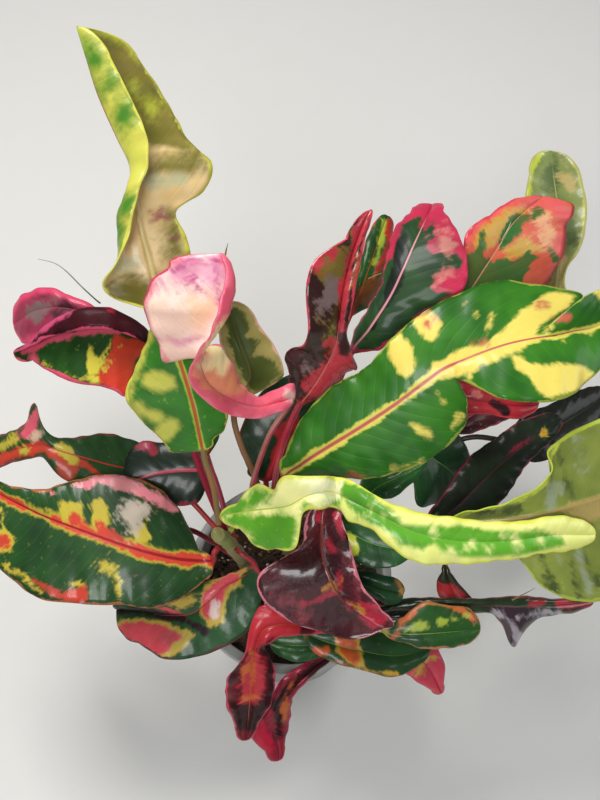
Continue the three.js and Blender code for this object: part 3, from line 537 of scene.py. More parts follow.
leaf("narrow", "middle", 0.68, "285 440 46, 325 370 53", "350 315 60", """
354 288 -4, 360 292 69, 372 302 -5
361 262 -4, 368 270 72, 384 276 -4
367 238 -3, 376 246 74, 390 248 -3
""", "387 216 76", turn=-0.5, lift=20, arch=40)
leaf("bronze", "middle", 0.9, "278 462 80, 289 428 91", "300 404 98", """
290 375 0, 310 392 102, 326 392 -3
286 353 3, 324 370 107, 348 372 -6
304 344 6, 335 347 112, 356 366 -10
308 322 8, 339 322 116, 347 334 -3
306 290 8, 342 297 119, 353 302 2
314 261 7, 348 270 122, 360 264 4
345 239 3, 357 240 124, 367 232 3
""", "369 211 125", turn=-0.2, lift=30, arch=20)
leaf("red_rib", "middle", 0.76, "", "266 481 60", """
248 468 -2, 273 460 66, 292 466 -3
239 438 -2, 283 436 70, 314 440 -5
252 405 -3, 295 410 73, 328 412 -6
""", "316 372 74", level=0.3)
leaf("dark_under", "back", 0.66, "", "414 457 35", """
434 422 0, 424 453 38, 414 484 0
456 432 0, 438 462 40, 418 506 0
470 455 0, 451 472 40, 440 504 -2
""", "468 492 37", level=0.5, arch=20)
leaf("mid_green", "right", 0.7, "", "348 524 56", """
372 462 0, 372 492 68, 372 500 -2
405 455 0, 396 478 72, 392 498 -3
""", "426 462 73", level=0.5)
leaf("pink_rib_dark", "right", 0.5, "370 545 42", "420 532 44", """
438 502 0, 455 508 48, 480 520 -2
465 462 0, 482 482 50, 509 492 -3
500 435 0, 512 455 51, 528 462 -3
""", "560 418 50", level=0.6, arch=20)
leaf("spotted_dark", "back", 0.56, "460 440 20", "505 440 22", """
530 412 0, 535 436 24, 538 462 -2
562 398 0, 562 424 26, 572 450 -2
""", "606 396 26", level=0.6, arch=25)
leaf("red_under", "back", 1.0, "", "420 400 62", """
458 380 0, 455 399 70, 456 416 -2
495 386 0, 490 402 74, 488 414 -2
520 396 0, 515 406 76, 513 419 -2
""", "538 405 76", level=0.5, arch=10)
leaf("broad_left", "left", 0.84, "", "214 560 71", """
205 580 -3, 204 561 68, 196 549 -3
175 601 -8, 178 559 73, 179 510 -4
150 608 -10, 150 553 78, 159 489 0
126 605 -10, 123 545 82, 131 477 2
100 605 -8, 100 537 85, 100 475 2
72 603 -8, 70 526 87, 72 481 2
38 598 -6, 42 515 88, 44 489 3
8 576 -5, 14 501 88, 10 486 3
""", "-26 480 86", level=0.7, lift=10, arch=50)
leaf("spiked", "left", 0.56, "190 500 38", "160 476 38", """
138 488 -2, 135 470 42, 136 441 0
112 488 -3, 110 465 48, 109 434 0
88 486 -4, 85 458 55, 84 436 0
62 478 -4, 60 451 60, 58 438 0
48 462 -2, 50 447 62, 43 428 3
40 457 -2, 42 446 63, 35 403 6
28 459 -2, 30 447 63, 25 423 3
14 462 -2, 15 450 63, 12 431 2
0 468 -2, 0 455 62, 0 436 2
""", "-18 462 60", level=0.5, arch=30)
leaf("pink_rib", "left", 0.6, "", "212 472 48", """
195 504 -3, 195 470 50, 193 446 -3
172 506 -5, 172 471 51, 165 443 -4
150 500 -5, 150 475 52, 143 441 -3
""", "124 486 52", level=0.2)
leaf("split_tip", "left", 0.72, "", "255 565 64", """
262 598 -3, 242 577 58, 226 576 -2
250 628 -5, 222 588 56, 203 582 -3
228 645 -6, 207 603 58, 185 583 -2
200 656 -5, 190 614 58, 160 587 2
165 659 -3, 166 615 58, 140 596 4
138 643 -2, 142 611 58, 128 603 3
""", "117 609 57", level=0.7, arch=25)
leaf("maroon_hood", "right", 1.0, "", "324 505 102", """
304 526 -2, 322 528 108, 342 519 -2
300 547 -4, 322 550 112, 350 545 -2
260 573 -4, 327 571 115, 357 570 -3
263 600 -6, 335 589 115, 364 588 -4
292 622 -8, 345 603 113, 377 603 -4
332 635 -6, 359 614 110, 386 614 -3
""", "382 629 106", level=0.3, stout=0.35, puckered=2.6)
leaf("red_fall", "right", 0.74, "335 615 72", "345 628 72", """
318 633 0, 315 628 77, 308 620 0
283 637 0, 285 624 81, 284 610 0
266 645 0, 264 630 82, 258 608 0
266 648 -4, 255 650 80, 244 655 0
275 672 -4, 252 675 74, 228 678 -4
272 700 -3, 250 700 68, 226 700 -3
259 722 -2, 248 722 63, 235 724 -2
""", "245 740 60", turn=0.3)
leaf("red_drop", "right", 0.42, "335 630 42", "335 650 44", """
315 673 0, 312 668 48, 306 662 0
298 690 0, 292 687 49, 281 680 0
291 703 -2, 280 706 47, 265 712 -2
289 724 -2, 273 727 43, 249 732 -2
284 744 -1, 277 745 40, 265 751 -1
""", "279 760 38", turn=-0.3)
leaf("small_front", "right", 0.5, "350 612 44", "343 634 50", """
321 657 0, 317 643 54, 319 629 0
300 662 0, 300 646 55, 300 628 0
""", "270 643 53", level=0.6)
leaf("orange_patch", "right", 0.64, "", "305 628 64", """
342 626 0, 335 645 68, 328 660 0
372 630 0, 366 652 70, 362 670 0
400 636 0, 396 656 70, 392 677 0
""", "430 650 68", level=0.7, arch=12)
leaf("red_tip", "right", 0.36, "370 615 34", "393 635 36", """
436 645 0, 417 656 38, 403 671 0
444 664 0, 429 669 38, 413 679 0
443 683 0, 437 684 37, 431 689 0
""", "441 693 36", level=0.4, arch=8)
leaf("dotted", "right", 0.66, "358 606 68", "385 631 79", """
404 617 0, 403 634 83, 404 642 -1
424 602 0, 423 634 86, 424 648 -3
452 606 0, 450 632 87, 450 648 -3
""", "480 629 86", level=0.5, arch=8)
leaf("long_dark", "right", 0.6, "360 596 55", "375 612 62", """
405 598 0, 402 610 66, 402 620 0
440 598 0, 440 606 69, 442 614 0
480 599 0, 480 606 71, 487 613 -2
499 597 0, 500 606 72, 501 622 -6
517 596 0, 516 607 72, 514 647 -10
533 597 0, 533 606 72, 532 621 -6
558 599 0, 558 605 72, 559 614 -3
""", "593 602 71", level=0.5, lift=10, arch=30)
leaf("little_peak", "right", 0.53, "400 610 50", "458 606 56", """
439 597 0, 455 597 60, 475 601 0
437 584 0, 449 584 62, 461 586 0
442 572 0, 446 572 63, 450 573 0
""", "445 564 63", turn=0.2)
leaf("little_green", "right", 0.87, "", "350 575 78", """
372 572 0, 368 583 81, 370 594 0
393 578 0, 386 589 82, 385 604 0
""", "403 594 82", level=0.5)
leaf("yellow_spot", "right", 0.92, "", "336 527 76", """
358 508 0, 350 533 84, 345 556 0
386 520 0, 376 545 88, 369 567 0
""", "412 552 90", level=0.6)
leaf("shade_back", "middle", 0.55, "300 470 12", "322 450 12", """
332 425 -2, 345 436 12, 352 452 -2
352 398 -5, 366 418 10, 382 440 -5
374 384 -5, 386 406 6, 400 426 -5
""", "406 390 -2")
leaf("shade_right", "back", 0.5, "430 450 -6", "448 432 -6", """
452 408 -3, 468 418 -10, 480 430 -3
478 380 -5, 496 398 -20, 514 416 -5
506 362 -5, 522 380 -34, 540 396 -5
""", "546 366 -50")
leaf("shade_far", "back", 0.42, "410 440 -8", "420 415 -10", """
404 396 -3, 428 396 -14, 448 398 -3
406 366 -5, 438 366 -24, 470 368 -5
420 334 -4, 448 334 -40, 478 336 -4
""", "456 306 -60")
leaf("shade_left", "left", 0.5, "215 480 26", "207 455 26", """
184 440 -3, 200 432 26, 218 428 -2
166 412 -5, 188 402 20, 214 398 -4
150 388 -5, 174 376 8, 202 370 -4
""", "160 350 -8")
leaf("shade_low", "left", 0.42, "190 530 22", "165 540 22", """
150 562 -3, 145 545 24, 140 530 -2
120 566 -5, 116 548 20, 112 530 -3
88 562 -4, 86 548 12, 84 534 -3
""", "60 546 0")
print("leaves:", len(LEAVES))

# %% [markdown]
# ## From stations to a finished blade
# Real blades are about half a millimetre thick, with a rib that stands out beneath, a
# shallow groove along it above, side veins that quilt the surface, and a margin that
# ripples. The blade is built as two fine nets of points, upper and under, and each of these
# forms is a small displacement of them. Modelling the veins as real swellings, rather than
# as colour alone, is what breaks up the highlights of a glossy leaf.

# %% A fine net over a leaf
ROW_PITCH = 1.5
PETIOLE_PITCH = 3.0
HALF_COLUMNS = 15
COLUMN_CROWDING = 1.3

half_shares = (np.arange(HALF_COLUMNS + 1) / HALF_COLUMNS) ** COLUMN_CROWDING
SHARES = np.concatenate([-half_shares[:0:-1], half_shares])


def row_places(points, neck_index):
    """Places of the rows, about a row pitch apart, and crowded at the tip."""
    places = []
    last = len(points) - 1
    for index in range(last):
        length = np.linalg.norm(points[index + 1] - points[index])
        steps = max(4, round(length / (PETIOLE_PITCH if index < neck_index else ROW_PITCH)))
        along = np.arange(steps) / steps
        places.extend(index + (np.sin(along * np.pi / 2) if index == last - 1 else along))
    return np.array([*places, last])


def leaf_net(item):
    """The middle surface of a leaf: rows of points, with what is known about each row."""
    ribs, lefts, rights, bows = posed_stations(item["blade"], item["pose"])
    petiole = [seen(point) for point in item["petiole"]]
    neck = seen(item["neck"])
    bark, shoulder = leaf_root(item["stem"], item["height"], (petiole or [neck])[0])
    tip_near = item["tip"][2] + item["pose"].get("lift", 0) - item["pose"].get("arch", 0)
    tip = seen([*item["tip"][:2], tip_near])
    points = np.array([bark, shoulder, *petiole, neck, *ribs, tip])
    neck_index = len(petiole) + 2
    places = row_places(points, neck_index)
    middles = smooth(points, places)
    along = directions(points, places)
    left, right, bow, opening = halves(lefts, rights, bows, places - neck_index - 1, along)
    net = np.empty((len(places), len(SHARES), 3))
    for column, share in enumerate(SHARES):
        side, way = (0, left) if share < 0 else (1, right)
        up = unit(np.cross(along, left) if share < 0 else np.cross(right, along))
        size = abs(share)
        lift = (4 * size * (1 - size) * bow[:, side])[:, None]
        net[:, column] = middles + way * size + up * lift
    steps = np.linalg.norm(np.diff(middles, axis=0), axis=1)
    length = np.concatenate([[0.0], np.cumsum(steps)])
    blade_start = np.interp(neck_index, places, length)
    return net, places / (len(points) - 1), opening, length - blade_start


def normals_of(net):
    along = np.gradient(net, axis=0)
    across = np.gradient(net, axis=1)
    return unit(np.cross(across, along))


print("columns across a leaf:", len(SHARES))

# %% [markdown]
# Each leaf gets its thickness, veins and ripples here. The net's points are pushed along
# the surface's own direction, outwards for the upper face and inwards for the under face.
# What the finish needs to know later goes with each point as a plain number: how far it
# lies from the rib and from the margin, where it is between two side veins, and which face
# it belongs to.

# %% Forms of a finished blade
BLADE_THICKNESS = 0.75
PETIOLE_THICKNESS = 3.0
PETIOLE_FLATTENING = 0.9
RIB_HEIGHT = 1.45
RIB_HALF_WIDTH = 1.5
RIB_FADE = 0.7
THINNEST_RIB = 0.35
GROOVE_DEPTH = 0.35
VEIN_PITCH = 7.5
VEIN_SWEEP = 0.55
VEIN_BEND = 160
LONG_WANDER, WANDER_LENGTH, WANDER_LEAN = 0.22, 17, 23
SHORT_WANDER, SHORT_LENGTH = 0.1, 5.3
QUILT = 0.09
UNDER_QUILT = 0.7
QUILT_FADE = 3
RIPPLE = 0.9
RIPPLE_LENGTHS = (11.0, 27.0)
RIPPLE_STRETCHES = (0.85, 1.2)
RIPPLE_SWAY, SWAY_LENGTH = 0.7, 31
RIPPLED_WIDTH = 12


def leaf_measures(net, length):
    """Millimetres from the rib and from the margin, and side veins counted along the rib."""
    middle = net.shape[1] // 2
    across = np.linalg.norm(np.diff(net, axis=1), axis=-1)
    left = np.cumsum(across[:, :middle][:, ::-1], axis=1)[:, ::-1]
    right = np.cumsum(across[:, middle:], axis=1)
    from_rib = np.concatenate([left, np.zeros((len(net), 1)), right], axis=1)
    half_width = np.repeat(from_rib[:, [0, -1]], [middle + 1, middle], axis=1)
    row = length[:, None]
    veins = (row - VEIN_SWEEP * from_rib - from_rib**2 / VEIN_BEND) / VEIN_PITCH
    long_wander = LONG_WANDER * np.sin(row / WANDER_LENGTH + from_rib / WANDER_LEAN)
    veins += long_wander + SHORT_WANDER * np.sin(row / SHORT_LENGTH)
    veins[:, :middle] += 0.5
    return from_rib, half_width, veins


def rippled(net, length, from_rib, half_width, opening, seed):
    """The net with a wavy margin, each half in its own rhythm."""
    random = np.random.default_rng(seed)
    middle = net.shape[1] // 2
    wave = np.zeros(from_rib.shape)
    for side in (slice(0, middle), slice(middle + 1, None)):
        for wavelength in RIPPLE_LENGTHS:
            phase = random.uniform(0, 2 * np.pi)
            stretch = wavelength * random.uniform(*RIPPLE_STRETCHES)
            sway = RIPPLE_SWAY * np.sin(length / SWAY_LENGTH + phase)
            rhythm = np.sin(length / stretch * 2 * np.pi + phase + sway)
            wave[:, side] += rhythm[:, None] * 0.5
    reach = (from_rib / np.maximum(half_width, 1)) ** 2
    reach = reach * np.clip(half_width / RIPPLED_WIDTH, 0, 1)
    return net + normals_of(net) * (wave * reach * opening[:, None] * RIPPLE)[..., None]


def thick_leaf(item, seed):
    """Upper and under nets of a leaf, and its measures."""
    net, share_along, opening, length = leaf_net(item)
    from_rib, half_width, veins = leaf_measures(net, length)
    from_margin = half_width - from_rib
    net = rippled(net, length, from_rib, half_width, opening, seed)
    normal = normals_of(net)
    open_share = opening[:, None]
    stalk = PETIOLE_THICKNESS / 2 * np.sqrt(1 - PETIOLE_FLATTENING * SHARES**2)
    half = (1 - open_share) * stalk + open_share * BLADE_THICKNESS / 2
    fading = np.clip(1 - share_along, 0, 1)[:, None] ** RIB_FADE
    rib_width = RIB_HALF_WIDTH * (THINNEST_RIB + (1 - THINNEST_RIB) * fading)
    rib = np.exp(-((from_rib / rib_width) ** 2)) * open_share * fading
    rib *= item["pose"].get("stout", 1)
    inside = np.clip(from_margin / QUILT_FADE, 0, 1) * np.clip(from_rib / QUILT_FADE, 0, 1)
    puckers = QUILT * item["pose"].get("puckered", 1)
    quilt = np.cos(2 * np.pi * veins) * puckers * (inside * open_share)
    upper = net + normal * (half - GROOVE_DEPTH * rib - quilt)[..., None]
    under = net - normal * (half + RIB_HEIGHT * rib + UNDER_QUILT * quilt)[..., None]
    measures = dict(
        from_rib=from_rib,
        from_margin=from_margin,
        veins=veins,
        along=np.repeat(share_along[:, None], len(SHARES), axis=1),
        open=np.repeat(open_share, len(SHARES), axis=1),
    )
    return upper, under, measures


example, _, example_measures = thick_leaf(LEAVES["broad_green"], seed=1)
print("widest half of broad_green:", round(float(example_measures["from_rib"].max())), "mm")

# %% Meshes and their place in the plant
def make_mesh(name, points, faces, smooth_faces=True, **measures):
    """A mesh from points in millimetres, with one number per point for each measure."""
    mesh = bpy.data.meshes.new(name)
    mesh.from_pydata((np.asarray(points) * MM).tolist(), [], faces)
    for key, values in measures.items():
        layer = mesh.attributes.new(key, "FLOAT", "POINT")
        layer.data.foreach_set("value", np.ravel(values).astype(float))
    mesh.polygons.foreach_set("use_smooth", np.full(len(faces), smooth_faces))
    mesh.update()
    return mesh


def add_piece(name, mesh, material, slot, *nodes):
    """Put a mesh in the plant, riding with it, and in the place of its solids."""
    mesh.materials.append(material)
    piece = bpy.data.objects.new(name, mesh)
    bpy.context.scene.collection.objects.link(piece)
    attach(piece, "root")
    if nodes:
        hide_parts(*nodes)
    return piece


def leaf_mesh(name, upper, under, measures):
    """Join the nets along both margins, the tip and the root, and keep the measures."""
    corner = np.arange(upper[..., 0].size).reshape(upper.shape[:2])
    top = np.stack(
        [corner[:-1, :-1], corner[:-1, 1:], corner[1:, 1:], corner[1:, :-1]], axis=-1
    ).reshape(-1, 4)
    bottom = (top + corner.size)[:, ::-1]
    loop = np.concatenate([corner[0, :], corner[1:, -1], corner[-1, -2::-1], corner[-2:0:-1, 0]])
    ahead = np.roll(loop, -1)
    wall = np.stack([ahead, loop, loop + corner.size, ahead + corner.size], axis=-1)
    points = np.concatenate([upper.reshape(-1, 3), under.reshape(-1, 3)])
    faces = np.concatenate([top, bottom, wall]).tolist()
    both = {
        key: values if np.ndim(values) == 3 else np.stack([values, values])
        for key, values in measures.items()
    }
    is_upper = np.repeat([1.0, 0.0], corner.size)
    return make_mesh(name, points, faces, **both, is_upper=is_upper)


print("faces of one leaf:", 2 * (len(example) - 1) * (len(SHARES) - 1))

# %% [markdown]
# ## The colours of croton leaves
# Each leaf is a green ground with lemon, orange, crimson or near-black areas whose borders
# are ragged, because whole groups of cells take one colour. A painted image would show its
# pixels up close. Here an area is a closed line of a few seen points, or a brush stroke
# along them. Its depth in millimetres goes with every point of the mesh. The shader frays
# that number with noise, and a short soft step turns it into colour.

# %% Areas and brush strokes on leaves
KINDS = ("gold", "warm", "pale", "dark")
STROKES = {name: [] for name in LEAVES}
FAR_AWAY = -30.0
SEEN_MILLIMETRES = 0.55


def distance_to_line(across, down, points):
    best = np.full(across.shape, np.inf)
    if len(points) == 1:
        return np.hypot(across - points[0, 0], down - points[0, 1])
    for start, end in zip(points[:-1], points[1:]):
        way = end - start
        reach = ((across - start[0]) * way[0] + (down - start[1]) * way[1]) / (way @ way)
        reach = np.clip(reach, 0, 1)
        gap = np.hypot(across - start[0] - reach * way[0], down - start[1] - reach * way[1])
        best = np.minimum(best, gap)
    return best


def depth_inside(across, down, points):
    """How far inside a closed line, and less than 0 outside it."""
    inside = np.zeros(across.shape, bool)
    for start, end in zip(points, np.roll(points, -1, axis=0)):
        crosses = (start[1] > down) != (end[1] > down)
        rise = end[1] - start[1] or 1e-9
        inside ^= crosses & (across < start[0] + (down - start[1]) / rise * (end[0] - start[0]))
    gap = distance_to_line(across, down, np.vstack([points, points[:1]]))
    return np.where(inside, gap, -gap)


def painted_fields(name, upper, under):
    """For each kind of colour, millimetres inside its areas, on both faces."""
    fields = {}
    for kind in KINDS:
        layers = []
        for face, net in (("upper", upper), ("under", under)):
            across, down = as_seen(net)
            field = np.full(across.shape, FAR_AWAY)
            for own_kind, radius, points, own_face, soft in STROKES[name]:
                if own_kind != kind or own_face not in ("both", face):
                    continue
                if radius is None:
                    inside = depth_inside(across, down, points)
                else:
                    inside = radius - distance_to_line(across, down, points)
                field = np.maximum(field, inside * SEEN_MILLIMETRES / soft)
            layers.append(field)
        fields[kind] = np.stack(layers)
    return fields


print("leaves to paint:", len(STROKES))

# %% [markdown]
# A palette names what a leaf's ground, ribs, margin and areas look like on its upper face.
# The under face is the same leaf seen through its duller skin. So unless a palette says
# otherwise, its colours are drawn towards a skin colour, olive for most leaves. Widths are
# in millimetres, and so are `frays`, how far noise moves a border, and `border`, how soft
# it is. The other numbers are strengths from none at 0 to full at 1, and `crinkle` goes on
# from there. `order` names the kinds of area from the lowest to the topmost.

# %% Palettes
PLAIN = dict(
    ground="3d7a24",
    deep="1f4f1c",
    gold="dfdc46",
    warm="d2352f",
    pale="f0b49a",
    dark="17301a",
    rib="d9a84a",
    halo="b9c93c",
    margin="7d9a34",
    stalk="7c3a30",
    rib_width=1.0,
    halo_width=0.0,
    band_width=0.0,
    margin_width=0.0,
    flecks=0.0,
    vein_strength=0.03,
    frays=7.0,
    border=1.0,
    specks=0.3,
    mottle=0.14,
    spot="1b2416",
    halo_frays=0.5,
    shine=0.22,
    skin="7c7a3c",
    skin_share=0.45,
    roughness=0.42,
    gloss=0.25,
    crinkle=0.0,
    order="gold warm pale dark",
)
TINTS = (*KINDS, "ground", "deep", "rib", "halo", "margin", "stalk", "spot")


def mixed(first, second, share):
    """A colour code between two codes."""
    parts = []
    for start in (0, 2, 4):
        low, high = int(first[start : start + 2], 16), int(second[start : start + 2], 16)
        parts.append(f"{round(low + (high - low) * share):02x}")
    return "".join(parts)


def face_colours(palette, face):
    if face == "upper":
        return {key: palette[key] for key in TINTS}
    skin, share = palette["skin"], palette["skin_share"]
    return {key: palette.get(f"under_{key}", mixed(palette[key], skin, share)) for key in TINTS}


plain_beneath = face_colours(PLAIN, "under")["ground"]
print("plain ground, and as seen beneath:", PLAIN["ground"], plain_beneath)

# %% The finish of a leaf
# A noise is stated by the size of its lumps in millimetres, its detail and its roughness.
NOISES = {
    "clouds": (22, 2, 0.55),
    "flecks": (9, 4, 0.6),
    "specks": (3.2, 1, 0.55),
    "mottle": (1.9, 4, 0.7),
}
# Clouds are stated by their strength, and where the second tone starts and is full.
CLOUDS_ON_GROUND = (3, -0.6, 0.6)
CLOUDS_ON_AREAS = (4, -0.8, 1.2)
CLOUDS_ON_STALK = (4, -0.6, 0.6)
SECOND_TONE = 0.28
YOUNG_TONE = 0.35
SOLID_SHARE = 0.6
SOFT_RIM = 0.3
FEW_FLECKS, MANY_FLECKS, FLECK_EDGE = 0.42, 0.02, 0.025
SPECK_STEP = (0.17, 0.24)
MOTTLE_STEP = (0.02, 0.4)
FINE_FRAY = 0.35
STREAKY_FRAY = 0.45
STREAKS_PER_VEIN = 2.6
STREAKS_OUTWARDS = 0.09
MARGIN_SWAY = 5
MARGIN_SOLID = 0.3
RIB_SOLID = 0.5
RIB_NARROWING = 0.6
RIB_END = 0.88
RIB_FADING = 0.08
VEIN_LINE = (0.02, 0.07)
VEIN_SWELL = (0.0, 0.12)
BLADE_START = (0.12, 0.5)


def painted_face(finish, palette, face, parts):
    """The colour of one face, from its ground up."""
    colours = face_colours(palette, face)
    border = palette["border"]
    clouds, fray = parts["clouds"], parts["fray"] * palette["frays"]
    frayed_rib = parts["from_rib"] + fray * palette["halo_frays"]

    def cloudy(first, second, strength, low, high):
        return finish.mix((clouds * strength).step(low, high), first, second)

    shade = cloudy(colours["ground"], colours["deep"], *CLOUDS_ON_GROUND)
    shade = finish.mix(parts["vein_line"] * palette["vein_strength"], shade, colours["halo"])
    for width, kind in ((palette["halo_width"], "halo"), (palette["band_width"], "warm")):
        if width:
            stripe = 1 - frayed_rib.step(width * SOLID_SHARE, width + SOFT_RIM)
            shade = finish.mix(stripe, shade, colours[kind])
    if palette["flecks"]:
        level = FEW_FLECKS - (FEW_FLECKS - MANY_FLECKS) * palette["flecks"]
        flecks = parts["flecks"].step(level, level + FLECK_EDGE)
        shade = finish.mix(flecks, shade, colours["gold"])
    if palette["specks"]:
        specks = parts["specks"].step(*SPECK_STEP) * palette["specks"]
        shade = finish.mix(specks, shade, colours["halo"])
    for kind in palette.get(f"{face}_order", palette["order"]).split():
        other = mixed(colours[kind], colours["halo" if kind == "gold" else "deep"], SECOND_TONE)
        tone = cloudy(colours[kind], other, *CLOUDS_ON_AREAS)
        shade = finish.mix((parts[kind] + fray).step(-border, border), shade, tone)
    mottle = parts["mottle"].step(*MOTTLE_STEP) * palette["mottle"]
    shade = finish.mix(mottle, shade, colours["spot"])
    width = palette["margin_width"]
    if width:
        uneven = parts["from_margin"] + parts["fray"] * MARGIN_SWAY + clouds * MARGIN_SWAY
        margin = 1 - uneven.step(width * MARGIN_SOLID, width)
        shade = finish.mix(margin, shade, colours["margin"])
    width = palette["rib_width"]
    rib = 1 - parts["from_rib"].step(width * RIB_SOLID, width)
    shade = finish.mix(rib * parts["rib_fade"], shade, colours["rib"])
    young = mixed(colours["stalk"], colours["rib"], YOUNG_TONE)
    stalk = cloudy(colours["stalk"], young, *CLOUDS_ON_STALK)
    return finish.mix(parts["blade"], stalk, shade)


def leaf_finish(name, palette):
    """A glossy leaf material from a palette and the leaf's own fields."""
    finish = Finish(name)
    along, veins = finish.attribute("along"), finish.attribute("veins")
    from_rib = finish.attribute("from_rib")
    vein_gap = veins.wave()
    along_veins = {0: veins * STREAKS_PER_VEIN, 1: from_rib * STREAKS_OUTWARDS}
    streaks = finish.noise(1 / MM, place=finish.node("ShaderNodeCombineXYZ", None, along_veins))
    broad = finish.noise(12, rough=0.5)
    fine = finish.noise(3.2, detail=5, rough=0.65)
    parts = {
        "fray": broad + fine * FINE_FRAY + streaks * STREAKY_FRAY,
        "vein_line": 1 - vein_gap.step(*VEIN_LINE),
        "from_rib": from_rib + along * RIB_NARROWING,
        "from_margin": finish.attribute("from_margin"),
        "rib_fade": 1 - (along - RIB_END).step(0, RIB_FADING),
        "blade": finish.attribute("open").step(*BLADE_START),
        **{name: finish.noise(*settings) for name, settings in NOISES.items()},
        **{kind: finish.attribute(kind) for kind in KINDS},
    }
    upper, under = (painted_face(finish, palette, face, parts) for face in ("upper", "under"))
    both = finish.mix(finish.attribute("is_upper"), under, upper)
    height = vein_gap.step(*VEIN_SWELL) * 0.5 + finish.noise(1.1, detail=2) * 0.25
    if palette["crinkle"]:
        height += finish.noise(4.5, detail=4) * palette["crinkle"]
    roughness = finish.noise(14) * 0.16 + palette["roughness"]
    gloss = {
        "Specular IOR Level": palette["shine"],
        "Coat Weight": palette["gloss"],
        "Coat Roughness": 0.16,
    }
    return finish.surface(both, roughness, height, reach=0.1, **gloss)


print("leaf finishes are ready")

# %% [markdown]
# ## Leaf by leaf
# Now the plant's own colouring. Every leaf states its palette and then its areas on both
# faces, or on one of them. Croton colours also change with age: the youngest leaves at the
# top are green and lemon, and the older ones below turn crimson, maroon and near black.
# A line of areas names a kind of colour and the seen points of its outline. The word `line`
# makes it a stroke with that radius in seen points, and `soft` widens its border.

# %% Notes on a leaf's colours
PALETTES = {}


def dress(name, **own):
    """A leaf's palette: the plain one with its own changes."""
    PALETTES[name] = {**PLAIN, **own}


def paint(name, face, text):
    """The areas and strokes of one face, or of both."""
    for line in text.strip().splitlines():
        words, places = line.split(":")
        kind, *settings = words.split()
        settings = dict(zip(settings[::2], map(float, settings[1::2])))
        points = np.array(places.split(), float).reshape(-1, 2)
        STROKES[name].append((kind, settings.get("line"), points, face, settings.get("soft", 1.0)))


print("kinds of colour:", ", ".join(KINDS))

# %% The tall and the rolled leaves
dress(
    "spire",
    ground="3a7f24", deep="2c6a1e", gold="cdc456", dark="4a7f26", rib="b5562c",
    halo="a3bf3e", margin="cdcb52", stalk="7c683f", rib_width=1.7, halo_width=2.6,
    margin_width=1.6, frays=5.0, border=2.2, under_ground="e4ca96", under_deep="cfae72",
    under_dark="646020", under_warm="8a3450", under_gold="b5bb3e", under_pale="a9b08e",
    under_rib="cdb97c", under_halo="c8aa6c", under_margin="bfbc4a",
    under_order="dark gold pale warm",
)
paint("spire", "upper", """
gold: 76 24 92 28 106 46 118 76 132 104 142 124 152 150 150 168 143 186 138 208 130 232 122 \
250 106 290 98 280 112 240 122 200 128 160 112 140 100 100 90 62 78 34
dark soft 3.4: 78 32 90 36 99 46 107 62 100 72 88 66 82 52
dark soft 3.4: 106 66 118 68 117 86 107 102 95 95 100 80
dark soft 3.4: 114 100 130 99 139 112 135 126 122 134 110 122
dark soft 2.6: 120 192 136 195 134 214 118 222
dark soft 2.6: 114 217 130 224 129 244 115 258 105 247
gold line 3.4 soft 1.2: 150 333 138 362 130 385 129 398 139 425 150 442
gold soft 1.2: 144 376 152 373 164 373 174 377 175 387 166 391 152 390 144 386
gold soft 1.2: 132 399 141 401 151 410 162 413 164 420 152 422 140 415 132 409
gold soft 1.2: 152 434 159 425 169 418 178 419 180 428 173 438 162 443 153 441
""")
# On the spire's under face, the two pale strokes at down 180 to 188 are painted highlight streaks
# in a greyish white.
paint("spire", "under", """
dark soft 1.2: 74 20 102 22 132 42 152 66 168 92 182 114 200 140 192 150 148 146 136 118 121 \
90 108 62 92 38
dark soft 2.5: 162 153 200 149 214 160 208 172 180 175 146 175
dark soft 3: 168 212 178 215 186 232 186 258 164 258 163 230
dark soft 3: 118 280 156 276 156 332 135 318 112 302 100 290
dark line 2 soft 1.2: 108 286 122 276 142 276
gold line 5 soft 1.6: 78 24 100 26 126 40 148 60 166 88 182 114 198 140
gold line 3 soft 1.4: 184 212 188 235 187 255
gold line 3.4 soft 3.5: 133 88
gold line 4 soft 4: 152 108
pale line 5 soft 2: 150 181 180 180
pale line 2.5 soft 1.5: 150 188 172 186
pale line 4.5 soft 2: 110 266 134 262
warm line 0.7 soft 0.9: 150 212 156 216 162 206 157 220 150 222
warm line 0.7 soft 0.9: 156 216 168 218
warm line 0.6 soft 0.9: 170 234 175 240 180 236
""")
dress(
    "scoop",
    ground="ea6479", deep="da5068", gold="ffeeac", warm="ec9468", pale="e8b8b4",
    rib="d8687a", halo="d8566a", margin="e8708a", stalk="8a2c3c", margin_width=1.6,
    vein_strength=0.0, frays=4.0, specks=0.0, mottle=0.42, spot="c04a3a", roughness=0.45,
    order="pale gold warm dark", under_spot="a84a80", under_ground="f6e4d8",
    under_deep="ecc8b4", under_dark="b8427a", under_rib="e2aaa4", under_margin="cb3f62",
    under_halo="e6bcae", under_warm="e66a80", under_gold="ecc49a", under_pale="d88ea8",
)
paint("scoop", "upper", """
gold soft 2.6: 226 316 226 340 229 362 228 378 216 380 202 376 198 366 207 348 214 330
warm soft 3.4: 196 372 206 374 216 366 222 376 232 366 236 380 246 390 228 394 206 388
pale line 5 soft 2: 289 394 296 400
""")
# On the scoop's under face, the thin pale stroke at down 338 to 342 is painted shade: a darker
# pink line in the fold above the lower lip.
paint("scoop", "under", """
pale soft 6: 152 284 170 258 195 248 228 252 236 275 226 306 206 296 188 284 168 290
pale line 2 soft 2.5: 150 338 180 342 202 338
gold soft 5: 190 298 214 298 212 325 196 334
dark line 3 soft 2.2: 192 260 204 264 216 262
dark line 1.2 soft 1.6: 184 280 186 284
dark line 1.2 soft 1.6: 176 292 180 293
dark line 1.4 soft 1.8: 206 278 208 284
dark line 3 soft 1.6: 195 276 197 288 203 292
dark line 3 soft 2: 214 266 218 285 219 300
dark line 2 soft 2.5: 170 274 182 266
warm line 2.6 soft 1.5: 222 256 231 275 228 295 221 315 213 338 202 356 190 374
warm line 2.5 soft 2: 188 254 166 266 150 288 143 310 148 328 166 362
""")
